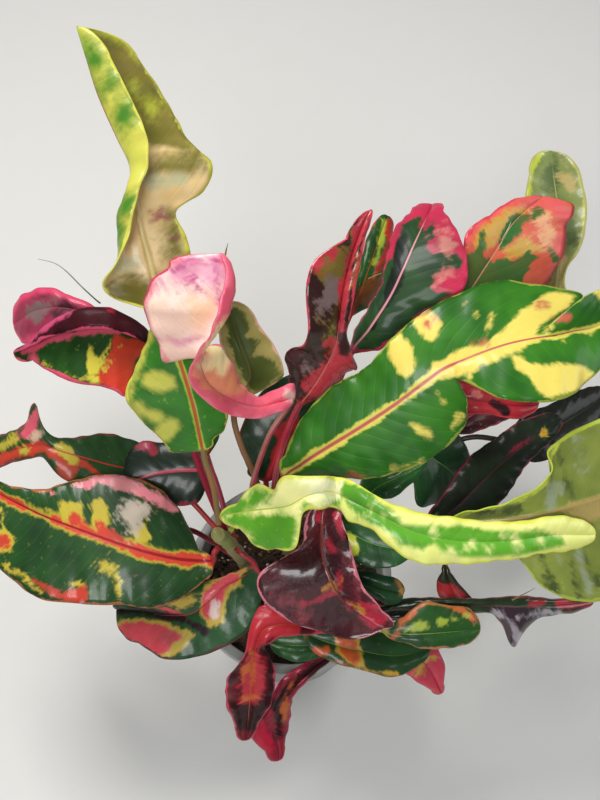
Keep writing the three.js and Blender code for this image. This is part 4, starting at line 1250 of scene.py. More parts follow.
dress(
    "olive_back",
    ground="a99c5c", deep="928848", dark="43521e", rib="7a5a34", margin="d6a588",
    stalk="74383a", rib_width=0.7, margin_width=1.4, frays=8.0, specks=0.0, roughness=0.5,
    gloss=0.1, under_ground="a99c5c", under_deep="928848", under_dark="43521e",
    under_margin="d6a588", under_halo="8d8a48", under_rib="7a5a34",
)
paint("olive_back", "both", """
dark soft 1.4: 222 314 234 308 246 318 250 328 247 337 256 335 262 342 254 347 252 358 262 357 \
272 362 284 372 272 384 258 392 248 386 240 370 232 350 226 336
""")
dress(
    "boat",
    ground="254c1c", deep="1b3815", gold="cdbb40", warm="c93a28", pale="d9506a",
    rib="8a2432", halo="7a9a34", margin="d0506a", stalk="8a2436", margin_width=1.4,
    specks=0.2, shine=0.08, roughness=0.55, gloss=0.05, order="warm gold pale dark",
    under_ground="43121a", under_deep="240a10", under_warm="b02438",
    under_margin="c44a68", under_rib="6a2030", under_halo="5a1a28", under_gold="c8a878",
    under_pale="c04870",
)
paint("boat", "upper", """
pale line 4: 22 352 40 343 62 336 84 332 100 329 118 331
pale line 1.6 soft 2: 30 356 44 370 62 382 84 388 104 390
warm: 114 333 132 338 146 344 142 356 134 364 130 382 127 397 112 389 98 382 97 374 103 360 \
110 350
gold: 87 352 90 345 94 356 99 360 106 350 112 338 109 354 102 364 99 373 90 374 84 368
gold line 1.1: 103 371 111 357 121 345
gold line 0.9: 106 373 114 360
gold line 2 soft 2.6: 46 364 60 373 78 379 96 380
""")
paint("boat", "under", """
gold line 3: 40 366 56 378 74 385 104 387
pale line 2.4: 18 352 40 331 62 315 82 303 102 302
warm soft 1.5: 105 304 116 303 122 308 114 312 106 310
""")
dress(
    "ear",
    ground="96304a", deep="6a2034", pale="74605e", dark="3a1420", rib="a03a50",
    halo="8a4454", margin="cc3f62", stalk="a03050", margin_width=5.5, specks=0.0,
    skin="5a1a2a", roughness=0.5,
)
# The ear's grey pale area is its dark centre, with the highlights on it painted in as a lighter
# grey tone.
paint("ear", "both", """
pale soft 3.5: 28 306 38 298 54 299 58 306 46 314 36 321 27 316
dark line 6 soft 2: 56 314 70 304
""")
print("dressed:", len(PALETTES), "leaves")

# %% The broad leaves
dress(
    "ribbon",
    ground="60a42a", deep="4f9024", gold="eaea8c", warm="fbf5a4", pale="faf6c4",
    dark="60a82e", rib="a5c240", halo="b5cf4c", margin="dadf58", stalk="a3b04a",
    rib_width=0.7, margin_width=2.4, border=1.8, skin="9aa83c", roughness=0.36,
    order="gold dark warm pale",
)
paint("ribbon", "both", """
gold soft 1.3: 345 496 352 508 358 518 372 523 388 533 402 546 420 548 436 543 446 552 470 557 \
500 556 540 551 566 545 560 536 540 532 510 531 470 529 430 526 404 525 390 512 376 500 384 \
496 410 505 460 516 520 518 600 512 606 550 540 570 440 575 390 560 340 530 338 500
dark soft 1.2: 402 527 430 528 470 532 510 534 545 535 562 542 540 550 500 555 460 556 444 551 \
436 542 420 544 405 540 396 532
warm line 1.6 soft 2.4: 433 531
warm line 3.2 soft 2.4: 470 541
warm line 1.8 soft 2.4: 452 552
warm line 1.8 soft 2.4: 502 536
warm line 2.6 soft 2.4: 515 541
warm line 2 soft 2.4: 540 541
warm line 1.4 soft 2.4: 488 546
warm line 1.6 soft 2.4: 384 516
warm line 2 soft 2.4: 372 512
warm soft 1.9: 281 474 296 472 326 477 328 503 318 509 303 505 298 512 284 514 268 512 258 510 \
266 504 276 488
pale soft 1.5: 324 478 342 478 342 500 326 503
pale soft 4: 304 480 324 480 324 499 308 496
gold line 2 soft 1.8: 244 494 252 485 266 484 274 492
gold line 1.2 soft 1.8: 228 516 262 511 290 512
gold line 1.6 soft 1.8: 222 520 238 528 250 540
gold line 2 soft 1.4: 301 515 299 530 295 545
""")
dress(
    "broad_green",
    ground="34761a", deep="215c16", gold="e2cf62", warm="cf6450", rib="b85850",
    halo="cfc956", margin="9aa83f", stalk="a8482e", rib_width=1.5, halo_width=3.4,
    margin_width=0.9, vein_strength=0.02, border=1.5, specks=0.0, halo_frays=0.8,
)
paint("broad_green", "both", """
gold: 388 345 391 333 398 329 405 338 412 350 416 360 413 372 405 378 397 373 391 360
gold: 413 320 419 311 426 308 434 313 439 324 439 336 432 343 425 340 418 331
gold: 424 380 434 364 452 352 468 345 480 345 490 341 500 331 510 322 521 312 533 303 545 294 \
560 290 576 297 565 308 550 318 538 330 534 342 520 352 505 356 484 365 474 375 470 386 465 \
373 440 379
gold: 508 354 520 355 527 363 545 366 565 363 582 367 596 374 588 386 572 394 556 398 546 398 \
538 392 530 378 518 366
gold: 590 290 600 286 612 290 604 303
gold line 3 soft 1.4: 492 315 488 327
gold line 2.2 soft 1.6: 478 314
gold line 1.2 soft 1.3: 437 392 442 400
gold line 0.6 soft 1.6: 412 424 430 436
gold line 2.4 soft 1.4: 453 428 461 416
gold line 3 soft 1.4: 392 470 408 468 420 462
gold line 1.6 soft 1.3: 464 302
gold line 1.3 soft 1.3: 493 300
gold line 2.2 soft 1.8: 563 340
gold line 2.4 soft 1.8: 591 334
gold line 1.5 soft 1.3: 545 330 551 326
warm line 1.8 soft 1.6: 419 313 428 311 433 318
warm line 1.2 soft 1.8: 426 320 429 328
warm line 1.8 soft 2: 535 309 543 304
warm line 1.6 soft 2: 472 344 485 343
warm line 1.2 soft 1.5: 553 320 566 318
warm line 2 soft 1.5: 340 476 365 478
""")
dress(
    "olive_right",
    ground="3f6a24", deep="2c5220", gold="c5c93f", pale="c9a86c", rib="b0804c",
    halo="b3a84a", margin="bccb40", stalk="9a8f45", rib_width=1.2, halo_width=2.2,
    margin_width=1.7, specks=0.25, order="dark pale warm gold", under_ground="8e9b46",
    under_deep="707e38", under_gold="c3d14a", under_pale="b99f62", under_dark="48552a",
    under_margin="b4c63c", under_rib="b3975c", under_halo="938c48", under_warm="9aa486",
)
# On the under face the warm strokes are painted highlight streaks, greyish white in the colour
# 9aa486.
paint("olive_right", "both", """
gold line 3.2: 450 518 480 506 520 498 544 481 551 456 556 441 576 431 604 416
pale soft 3: 560 512 575 500 600 494 640 490 640 522 590 524
warm line 4 soft 2.5: 556 484 552 506
warm line 3 soft 3: 576 440 580 474
warm line 3.4 soft 2: 574 546 583 568 590 590
warm line 2 soft 2.4: 556 552 562 568
gold line 2 soft 2.6: 562 576 567 598
dark line 2.4 soft 2.2: 557 452 564 475 575 500
dark line 3.4 soft 3: 570 560 578 596
dark line 6 soft 4: 544 558 556 590
dark line 4 soft 4: 586 560 600 584
dark line 4 soft 2: 480 512 520 510
""")
dress(
    "olive_far",
    ground="4a7428", deep="355c22", gold="c8d048", pale="c0a868", rib="a8904a",
    margin="b5b866", stalk="8c8a44", margin_width=2.4, specks=0.2,
    order="dark pale gold warm", under_ground="79854a", under_deep="667542",
    under_gold="aebb38", under_pale="ad9a62", under_dark="52633a", under_rib="948c52",
    under_halo="8d8f50", under_margin="a5a55c",
)
paint("olive_far", "both", """
gold line 4.5 soft 1.2: 525 210 525 188 531 168 540 155
dark soft 3: 540 160 560 158 564 176 556 190 542 184
dark soft 3: 566 214 582 214 576 244 564 254
pale soft 2.5: 560 160 570 160 576 182 568 190 562 176
pale soft 3: 548 262 566 248 572 262 562 292 545 296
""")
dress(
    "broad_left",
    ground="234b20", deep="17371a", gold="bdab3a", warm="c8412f", pale="f28e98",
    dark="d6c0b2", rib="8c161e", halo="ab9d34", margin="a8683a", stalk="9c2a30",
    rib_width=1.5, halo_width=5.6, band_width=3.6, margin_width=0.9, frays=8.0,
    specks=0.15, halo_frays=1.1, skin="5a3a2c", order="gold dark warm pale",
)
paint("broad_left", "both", """
gold soft 1.2: 58 501 70 499 81 505 85 520 80 530 64 524 57 512
gold soft 1.2: 90 505 100 497 107 504 109 522 102 534 91 526
gold soft 1.5: 130 530 147 520 149 542 136 546
dark soft 3.4: 122 500 137 497 143 510 140 529 131 538 123 522
warm soft 2: 72 512 84 520 92 530 80 532 66 524
warm soft 2: 98 520 110 532 124 540 112 542 98 536
pale: 72 485 100 474 120 475 142 482 162 494 184 512 172 516 152 501 140 498 120 492 104 485 \
88 487
pale line 3 soft 1.4: 38 490 50 493
gold line 3 soft 1.5: 10 568 26 580 40 590
warm line 3.4: 34 579 52 592 70 600 84 600
warm soft 1.5: 60 592 72 588 84 588 86 604 66 604
gold line 2.6 soft 1.2: 70 587 80 585
pale line 2.4: 84 604 118 604
gold line 2.6 soft 1.4: 119 582 120 600
gold line 3 soft 2.5: 100 562 112 568
gold soft 1.2: -6 528 6 527 14 538 8 552 -6 554
warm soft 1.5: -6 534 4 533 9 542 4 549 -6 550
gold line 2.5 soft 1.4: -2 508 4 514 2 522
""")
print("dressed:", len(PALETTES), "leaves")

# %% The leaves behind
dress(
    "coral",
    ground="d8684a", deep="cb5540", gold="c49a3e", warm="dd5e5c", pale="e4b07c",
    dark="2d672a", rib="cf9a74", halo="c98a44", margin="cc3c4c", stalk="a83a34",
    rib_width=1.1, margin_width=2.4, flecks=0.12, frays=9.0, specks=0.0, skin="8a4a34",
    skin_share=0.12, order="gold pale warm dark",
)
paint("coral", "both", """
warm soft 2: 456 262 458 238 472 218 490 208 502 194 530 190 556 192 572 210 572 236 560 262 \
548 290 556 250 560 226 552 208 528 203 508 208 494 220 478 230 470 246
gold soft 1.6: 478 226 500 206 526 206 522 219 505 225 494 246 484 250
gold soft 1.6: 472 234 484 228 487 252 474 258
gold soft 2: 506 248 530 240 548 250 534 256 510 262
pale soft 3: 532 212 550 214 556 234 546 248 534 232
dark: 458 257 468 254 476 248 480 234 484 226 487 240 486 254 494 262 488 276 478 292 458 294
dark: 498 250 504 230 511 218 528 214 522 230 509 242
dark line 1.6 soft 1.4: 524 222 534 217 540 212
dark: 484 284 489 266 497 260 512 261 520 256 528 251 542 256 533 265 527 275 521 288 498 290
dark line 2.5: 549 250 557 261
""")
dress(
    "crimson_edge",
    ground="24481f", deep="1b3620", warm="bf2a4c", pale="d68078", dark="101b14",
    rib="cf8a92", halo="5a3440", margin="c93055", stalk="b03c58", rib_width=1.2,
    margin_width=2.2, specks=0.1, shine=0.2, skin="3a2026", roughness=0.5, gloss=0.15,
)
paint("crimson_edge", "both", """
warm: 380 262 386 226 400 206 418 192 438 192 458 204 470 232 474 262 472 288 456 302 446 303 \
451 294 441 293 433 289 434 278 442 269 459 268 463 261 456 253 443 249 432 254 424 250 427 \
244 433 236 434 222 426 230 418 226 425 213 413 218 404 226 397 242 392 262
pale soft 3: 434 274 445 268 454 268 455 277 444 283 436 283
pale soft 3.6: 434 234 446 229 454 244 444 248
dark: 366 340 384 300 391 265 397 240 406 232 408 262 398 290 376 325
""")
dress(
    "narrow",
    ground="24571d", deep="1c4419", gold="a3b038", warm="c03028", pale="7f4a26",
    rib="b8482e", halo="7a9a34", margin="c43c36", stalk="a83a34", margin_width=1.4,
    skin="6a3a2a",
)
paint("narrow", "both", """
gold line 2.6 soft 1.3: 385 224 381 245 376 262
warm line 3.2: 391 222 389 245 379 268 366 290 352 306
pale: 366 282 382 274 384 300 368 306 356 304
""")
dress(
    "bronze",
    ground="3a1a15", deep="2a1110", gold="6f6422", warm="c0323f", pale="c4643a",
    dark="7c6866", rib="cf7468", halo="8a2a30", margin="c63a50", stalk="a02438",
    rib_width=0.8, margin_width=1.5, frays=10.0, specks=0.0, skin="4a1a22", roughness=0.3,
    gloss=0.7, crinkle=6.0, order="gold dark warm pale",
)
# The bronze leaf's dark colour 7c6866 is a lilac-grey painted highlight: the first dark area is
# the sheen on its left half. The short dark stroke near the base has the same colour.
paint("bronze", "both", """
gold soft 3.2: 322 254 345 240 360 234 352 262 346 290 338 320 331 337 326 322 334 292 322 276 \
316 262
dark soft 2.8: 322 302 328 289 337 284 339 296 336 312 333 326 327 316
dark line 2 soft 3: 304 366 312 368
warm line 4.5: 368 212 360 232 352 255 346 285 342 312 342 330
warm line 0.9 soft 3: 312 266 322 256 336 248
pale line 3.2 soft 1.8: 358 254 356 270 352 288
warm soft 2.2: 322 362 330 342 338 338 346 352 354 372 338 386 318 400 298 406 302 388 312 374
""")
dress(
    "red_rib",
    ground="1b361a", deep="122716", warm="ab1f2a", rib="b52a30", halo="4a3a1e",
    margin="6a2a2a", stalk="a0262e", rib_width=2.4, margin_width=0.8, specks=0.1,
    skin="3a2420",
)
paint("red_rib", "both", """
warm: 301 402 298 424 291 446 281 472 268 482 268 468 274 450 278 436 270 433 282 424 293 410
""")
dress(
    "red_under",
    ground="b52a34", deep="8a1c28", pale="c9706a", dark="2a1014", rib="7a1c24",
    halo="9a2a30", margin="c83a44", stalk="8c2030", margin_width=1.0, skin="4a1218",
)
paint("red_under", "both", """
dark line 4: 493 402 506 412
pale line 4: 478 394
""")
print("dressed:", len(PALETTES), "leaves")

# %% The dark leaves in the middle
dress(
    "dark_under",
    ground="1d4a22", deep="142f1a", rib="4a7a34", halo="3a6a2c", stalk="5f6f34",
)
dress(
    "mid_green",
    ground="2a6a26", deep="1c4c20", rib="6a9a3a", halo="4f8a30", stalk="74883a",
)
dress(
    "pink_rib_dark",
    ground="1d2a1a", deep="151a12", gold="b8b83a", warm="8a1c34", dark="d8582e",
    rib="5a2430", halo="34301f", margin="7a2a3c", stalk="7a1f34", margin_width=1.0,
    specks=0.0, shine=0.15, skin="241216", roughness=0.5, gloss=0.15,
    order="warm gold dark pale",
)
paint("pink_rib_dark", "both", """
warm line 0.7: 504 458 520 445 536 435
gold line 4.6 soft 1.4: 543 433
dark line 2.6 soft 1.4: 543 433
""")
dress(
    "spotted_dark",
    ground="20231a", deep="14160f", gold="b8b83a", warm="d8582e", rib="3a3c22",
    halo="34401f", stalk="2a2018", skin="2a2018",
)
paint("spotted_dark", "both", """
gold line 7: 546 433
warm line 4.5: 546 433
""")
dress(
    "spiked",
    ground="25481f", deep="1a3a1d", gold="b7a63a", warm="be3a2a", pale="cf5566",
    dark="c9a890", rib="b0352c", halo="5a6a2c", margin="7a3a34", stalk="9c3030",
    margin_width=1.0, skin="4a2a24", order="warm gold pale dark",
)
paint("spiked", "both", """
pale soft 1.2: 19 432 30 418 37 404 38 424 29 438 20 438
gold line 3.4 soft 1.6: 2 446 10 442
gold line 2.6 soft 2: 16 440
gold line 2.2 soft 2: 22 450
warm line 5.5 soft 1.2: 2 460 20 452 40 447 58 456
dark line 2.2 soft 1.5: 32 438 38 434
gold line 5 soft 1.4: 58 448 66 452 72 458
warm soft 1.2: 58 460 72 460 78 468 72 482 58 482
warm line 2.8: 74 460 88 466 102 477
""")
dress(
    "pink_rib",
    ground="1b2c1e", deep="121f15", warm="a82c40", pale="bf5062", rib="b64058",
    halo="44463a", margin="9a3444", stalk="a83a50", rib_width=1.9, margin_width=1.0,
    specks=0.25, skin="3a1c24",
)
paint("pink_rib", "both", """
warm line 4 soft 1.2: 182 508 200 506 214 502
pale line 3.6 soft 1.3: 136 444 147 442
warm line 3.6 soft 1.2: 150 442 154 452
""")
dress(
    "split_tip",
    ground="27512a", deep="1c3f22", gold="bfa344", warm="dc4c58", pale="e6c8c4",
    dark="241418", rib="a82c30", halo="6a6a34", margin="5a3a30", stalk="9c3038",
    margin_width=0.9, skin="3a1c22", crinkle=4.0,
)
paint("split_tip", "both", """
gold soft 1.2: 110 640 120 619 136 619 162 622 190 629 196 636 180 652 162 662 142 660 124 650
warm soft 1.2: 110 640 122 622 136 623 160 626 180 632 184 637 172 648 158 656 142 656 124 648
gold line 4 soft 1.6: 146 602 164 598 180 604 196 600
warm line 2.6 soft 1.6: 146 594 160 598
gold soft 1.2: 198 600 204 586 216 579 230 571 246 568 242 584 229 594 225 604 223 622 208 626 \
200 614
warm soft 1.2: 200 600 205 590 216 583 229 575 243 571 238 582 226 591 221 600 215 613 208 622 \
202 612
pale line 3.6 soft 1.2: 214 603 213 616
dark line 3.6 soft 1.2: 116 611 138 610 160 614 184 620 204 631
warm line 1.8: 154 606 172 612 186 620
""")
print("dressed:", len(PALETTES), "leaves")

# %% The leaves in front
dress(
    "maroon_hood",
    ground="3f5a24", deep="2c4420", rib="a0503a", halo="7a6a34", margin="d0647c",
    stalk="8c2436", margin_width=1.0, specks=0.0, mottle=0.3, shine=0.14, roughness=0.36,
    gloss=0.6, crinkle=12.0, order="dark warm gold pale", under_spot="96565c",
    under_ground="4c161e", under_deep="2f0c13", under_warm="a82438", under_gold="a8702a",
    under_rib="6a2a28", under_halo="55222a", under_margin="cf7684", under_dark="7a3038",
)
paint("maroon_hood", "under", """
warm soft 1.5: 362 606 372 602 386 606 388 620 374 628 362 618
warm: 334 514 340 514 346 538 344 542 338 532
warm line 2.4 soft 1.6: 304 602 320 599 336 594
warm line 3.4 soft 1.8: 338 574 342 588
warm line 3 soft 1.8: 343 600 350 606
warm line 2.4 soft 2.5: 320 520 326 536 330 552
gold line 1: 324 564 330 578 339 596 343 606
gold line 0.9: 338 595 348 602 364 612
gold line 0.8: 334 588 342 582 343 574
gold line 0.7: 332 584 322 590
dark line 5 soft 5: 280 600 300 612
dark line 5 soft 5: 350 560 356 585
""")
dress(
    "red_fall",
    ground="6a1420", deep="3c0d14", gold="b5602a", warm="bd2c36", pale="c8767a",
    dark="26090d", rib="a8442a", halo="8a2a28", margin="b8304a", stalk="a82438",
    margin_width=1.6, specks=0.0, shine=0.12, skin="4a101a", roughness=0.36, gloss=0.3,
    order="dark warm gold pale",
)
paint("red_fall", "both", """
warm soft 1.2: 262 598 280 612 304 622 300 636 268 640 252 652 246 646 249 624 256 606
warm soft 2.4: 250 648 257 654 262 668 264 688 254 702 242 700 236 688 242 676 248 662
warm line 2.4 soft 1.5: 219 684 222 702 230 718
dark soft 1.6: 222 636 247 636 246 656 238 672 230 690 222 684
dark soft 1.6: 228 700 240 704 254 704 270 690 270 712 252 732 232 730
dark line 3.4 soft 1.5: 265 648 271 668 272 690
gold line 1.2 soft 1.4: 250 650 254 664 251 684
gold line 1.2 soft 1.8: 236 692 244 698 254 697
gold line 1 soft 1.8: 247 668 242 682
pale line 1.6 soft 1.8: 256 618 266 612
""")
dress(
    "red_drop",
    ground="961c32", deep="6e1428", gold="b05a2a", warm="b22038", dark="220d0e",
    rib="7a2428", halo="8a2a2c", margin="b03048", stalk="a02236", margin_width=1.4,
    specks=0.0, shine=0.12, skin="4a101a", gloss=0.3, order="dark warm gold pale",
)
paint("red_drop", "both", """
dark line 6 soft 1.3: 330 660 305 672 288 690 276 708
dark soft 1.8: 270 700 284 696 286 716 282 734 274 738 272 724
dark line 1.6 soft 2: 262 706 266 722
gold line 2.4 soft 1.4: 287 698 284 720
gold line 2.4 soft 1.4: 296 676 290 688
warm soft 1.5: 250 726 262 718 270 732 272 752 258 750
""")
dress(
    "small_front",
    ground="2a5a26", deep="1c4420", rib="6a8a34", halo="4a7a2c", stalk="6a7a34",
    flecks=0.15,
)
dress(
    "orange_patch",
    ground="264a24", deep="1a3a1c", gold="cfa03c", warm="d65a2a", pale="b8401f",
    rib="5a7a30", halo="4a6a2c", margin="8a5a34", stalk="8a5a34", margin_width=1.2,
    skin="4a3a24",
)
paint("orange_patch", "both", """
gold: 333 634 360 634 363 667 346 664 336 650
warm soft 1.2: 336 634 357 634 359 656 356 665 345 661 338 648
pale line 0.9 soft 1.6: 343 637 347 656
pale line 0.8 soft 1.6: 351 637 354 660
warm line 3 soft 1.3: 314 652 326 650
gold line 1.3 soft 1.2: 330 664 362 670 396 674
""")
dress(
    "red_tip",
    ground="c84454", deep="b03648", gold="b5a23e", dark="2a4a22", rib="a03a3a",
    halo="a04a3a", margin="bf4a54", stalk="a03044", margin_width=1.0, specks=0.0,
    skin="4a1a20",
)
paint("red_tip", "both", """
dark line 10 soft 1.3: 400 640 410 654
gold soft 2: 414 658 428 652 436 658 424 668 416 676
""")
dress(
    "dotted",
    ground="26501f", deep="1a3c1b", gold="9aaa3a", warm="c9653a", rib="8fa84a",
    halo="5a8a30", margin="a8703f", stalk="8a7a3a", rib_width=0.8, margin_width=1.1,
    skin="4a4024", order="warm gold pale dark",
)
paint("dotted", "both", """
warm line 3.2 soft 1.2: 398 632 404 616 418 606 436 602 456 606 474 618
gold line 1.1 soft 1.8: 422 626 425 626
gold line 1.1 soft 1.8: 441 621 444 621
gold line 1.1 soft 1.8: 453 619 456 619
gold line 1.1 soft 1.8: 466 615 469 615
gold line 2.6 soft 1.5: 404 632 416 628
warm line 3.4 soft 1.2: 376 630 388 640 397 634
""")
dress(
    "long_dark",
    ground="263a20", deep="182416", warm="b02a3a", pale="aca4ac", dark="3c2630",
    rib="6a4a3a", halo="3a3a2a", margin="8a3a3c", stalk="6a2c34", margin_width=1.0,
    specks=0.1, skin="2c1820", roughness=0.3, gloss=0.8, order="dark warm pale gold",
)
# The two pale strokes, in the lilac-grey aca4ac, are a painted highlight: the bright sheen across
# the middle of the lobe.
paint("long_dark", "both", """
warm line 4.5 soft 1.2: 560 604 590 606
warm line 2.4 soft 1.2: 532 604 544 602
dark soft 1.2: 488 608 516 606 546 612 520 646 506 640
pale line 1.8 soft 1.6: 494 612 510 620 518 632 519 642
pale line 2.2 soft 1.8: 520 618 540 613 560 613
""")
dress(
    "little_peak",
    ground="b02c30", deep="962228", dark="22301f", rib="8a2a28", stalk="9c2430",
    specks=0.0, skin="4a141a", gloss=0.6,
)
paint("little_peak", "both", """
dark: 442 562 452 572 468 590 478 604 462 593 450 585 434 580
""")
dress(
    "little_green",
    ground="24502a", deep="183820", gold="b0743a", rib="5a8a3a", halo="3f6f30",
    stalk="6a7a38",
)
paint("little_green", "both", """
gold line 3 soft 1.4: 398 576 402 592
""")
dress(
    "yellow_spot",
    ground="26542a", deep="1a3c20", gold="c9cf3c", rib="5a8a3a", halo="4a7a30",
    stalk="74803a",
)
paint("yellow_spot", "both", """
gold line 6: 350 538 354 548
""")
print("dressed:", len(PALETTES), "leaves")

# %% The inner leaves
dress(
    "shade_back",
    ground="2a5f26", deep="1b4420", gold="c8c83c", rib="c04a3a", halo="a8b83c",
    stalk="8f6a34", rib_width=1.5, halo_width=3.0, flecks=0.3,
)
dress(
    "shade_right",
    ground="54202a", deep="30121a", gold="a8743a", rib="b8344a", margin="b03a50",
    stalk="8a2436", margin_width=1.2, flecks=0.15, skin="3a1a20",
)
dress(
    "shade_far",
    ground="2f6a26", deep="1f4c20", gold="d8d244", rib="c85a3a", halo="c8c83c",
    stalk="98803a", rib_width=1.5, halo_width=3.2, flecks=0.4,
)
dress(
    "shade_left",
    ground="2a5f26", deep="1a4220", gold="d0c23c", rib="c03a34", halo="b8a83c",
    stalk="96382e", halo_width=2.6, flecks=0.3,
)
dress(
    "shade_low",
    ground="5a1c28", deep="2c1016", gold="a8603a", rib="b83044", margin="a83a4c",
    stalk="8a2434", margin_width=1.2, flecks=0.12, skin="3a161c",
)
print("dressed:", len(PALETTES), "of", len(LEAVES), "leaves")

# %% [markdown]
# ## All the leaves
# Each leaf is built, measured, painted and put in the place of its solid.

# %% Build the leaves
SLOT_LEAVES = {
    "leaf_yellow_green": ["spire", "ribbon"],
    "leaf_pink": ["scoop"],
    "leaf_olive": ["olive_back", "olive_right", "olive_far", "narrow"],
    "leaf_coral": ["coral"],
    "leaf_red": ["ear", "red_under", "red_fall", "red_drop", "red_tip", "little_peak"],
    "leaf_maroon": [
        "bronze", "maroon_hood", "pink_rib_dark", "spotted_dark", "long_dark", "crimson_edge",
    ],
}
SLOTS = dict.fromkeys(LEAVES, "leaf_green")
for slot, names in SLOT_LEAVES.items():
    SLOTS.update(dict.fromkeys(names, slot))

leaf_faces = 0
for seed, (name, item) in enumerate(LEAVES.items()):
    upper, under, measures = thick_leaf(item, seed)
    measures.update(painted_fields(name, upper, under))
    mesh = leaf_mesh(f"{name}_blade", upper, under, measures)
    material = leaf_finish(f"{name}_leaf", PALETTES[name])
    add_piece(f"{name}_blade", mesh, material, SLOTS[name], f"leaf_{name}")
    leaf_faces += len(mesh.polygons)
print("leaves built:", len(LEAVES), "with", 2 * leaf_faces, "triangles")

# %% [markdown]
# ## Stems
# A croton's stem is grey-brown and woody below and green where it is young. Every leaf
# that ever grew on it has left a scar: a pale half-moon on a slight swelling. The stem is
# a tube of rings whose radius is worked out point by point, so that the scars are in its
# shape and can be coloured by the same numbers. The soil and the pot are made of rings too.

# %% Meshes of rings
TUBE_REFERENCE = np.array([0.0, 1.0, 0.0])


def turns_of(sides):
    return np.arange(sides) / sides * 2 * np.pi


def ring_mesh(name, net, ends, flip=False, **measures):
    """A closed mesh from rings of points and one point in the middle of each end."""
    corner = np.arange(net[..., 0].size).reshape(net.shape[:2])
    ahead = np.roll(corner, -1, axis=1)
    sides = np.stack([corner[:-1], ahead[:-1], ahead[1:], corner[1:]], axis=-1)
    faces = sides.reshape(-1, 4).tolist()
    faces += [(corner.size, *edge) for edge in zip(ahead[0].tolist(), corner[0].tolist())]
    faces += [(corner.size + 1, *edge) for edge in zip(corner[-1].tolist(), ahead[-1].tolist())]
    if flip:
        faces = [(face[0], *face[:0:-1]) for face in faces]
    ended = {key: np.append(values, [0.0, 0.0]) for key, values in measures.items()}
    return make_mesh(name, [*net.reshape(-1, 3), *ends], faces, **ended)


def tube_mesh(name, centres, radii, sides, **measures):
    """A closed tube round a line; radii may differ for every point of every ring."""
    along = unit(np.gradient(centres, axis=0))
    sideways = unit(np.cross(along, TUBE_REFERENCE))
    forwards = np.cross(sideways, along)
    turns = turns_of(sides)[:, None]
    rings = sideways[:, None] * np.cos(turns) + forwards[:, None] * np.sin(turns)
    net = centres[:, None] + rings * np.reshape(radii, (len(centres), -1, 1))
    return ring_mesh(name, net, [centres[0], centres[-1]], **measures)


def turned(profile, sides):
    """Rings of points from a profile of radii and heights, swept round."""
    radii, heights = np.transpose(profile)
    turns = turns_of(sides)
    across, back = np.outer(radii, np.cos(turns)), np.outer(radii, np.sin(turns))
    return np.stack([across, back, np.repeat(heights[:, None], sides, axis=1)], axis=-1)


print("a ring of four turns by", np.round(np.degrees(turns_of(4))), "degrees")

# %% Bark finish
bark = Finish("croton_bark")
bark_young = bark.attribute("young").step(0.35, 0.95)
bark_scar = bark.attribute("scar").step(0.25, 0.6)
bark_grain = bark.noise(2.5, detail=5, rough=0.65)
bark_patches = (bark.noise(9) * 4).step(-0.6, 0.6)
bark_wood = bark.mix(bark_patches, "6b5a44", "8d7d63")
bark_wood = bark.mix((bark_grain * 4).step(-0.2, 1.2), bark_wood, "4a3d2e")
bark_green = bark.mix(bark_patches, "8b9650", "97885a")
bark_colour = bark.mix(bark_young, bark_wood, bark_green)
bark_colour = bark.mix(bark_scar, bark_colour, "b3a182")
bark_material = bark.surface(bark_colour, bark_grain * 0.2 + 0.72, bark_grain, reach=0.5)
print("bark finish:", bark_material.name)

# %% Stems with leaf scars
STEM_SIDES = 40
STEM_ROWS = 90
STEM_FOOT = 34.0
FOOT_ROWS = 8
FOOT_RADIUS = 4.6
TOP_RADIUS = 4.0
BUD_ROWS = 12
BUD_LENGTH = 7.0
BUD_SHAPE = [(0.0, 1.0), (0.25, 0.72), (0.6, 0.5), (1.0, 0.12)]
FIRST_SCAR = 12
SCAR_PITCH = 6.5
SCAR_TURN = 2.4
SCAR_WIDTH = 3.0
SCAR_HEIGHT = 0.9
SCAR_CURVE = 0.12
SCAR_DEPTH = 0.18
SWELL_HEIGHT = 2.4
SWELLING = 0.45
UNEVENNESS = 0.12
UNEVEN_WAVES = (1, 2, 3, 5)
UNEVEN_PITCHES = (6, 22)


def bumps_on(heights, turns, seed):
    """Gentle seeded unevenness over a tube."""
    random = np.random.default_rng(seed)
    total = np.zeros((len(heights), len(turns)))
    for waves in UNEVEN_WAVES:
        pitch = random.uniform(*UNEVEN_PITCHES) / waves
        phase, spin = random.uniform(0, 2 * np.pi, 2)
        rising = heights[:, None] / pitch * 2 * np.pi
        total += np.sin(rising + phase + waves * turns + spin) / waves
    return total * UNEVENNESS


def scars_on(heights, turns, seed):
    """How much of a scar, and of the swelling under it, is at each point of a tube."""
    scar = np.zeros((len(heights), len(turns)))
    swell = np.zeros_like(scar)
    for number in range(int(heights[-1] / SCAR_PITCH)):
        turn = number * SCAR_TURN + seed
        gap = np.angle(np.exp(1j * (turns - turn))) * STEM_RADIUS
        rise = heights[:, None] - (FIRST_SCAR + number * SCAR_PITCH) - SCAR_CURVE * gap**2
        spread = np.exp(-((gap / SCAR_WIDTH) ** 2))
        scar = np.maximum(scar, np.exp(-((rise / SCAR_HEIGHT) ** 2)) * spread)
        swell = np.maximum(swell, np.exp(-((rise / SWELL_HEIGHT) ** 2)) * spread)
    return scar, swell


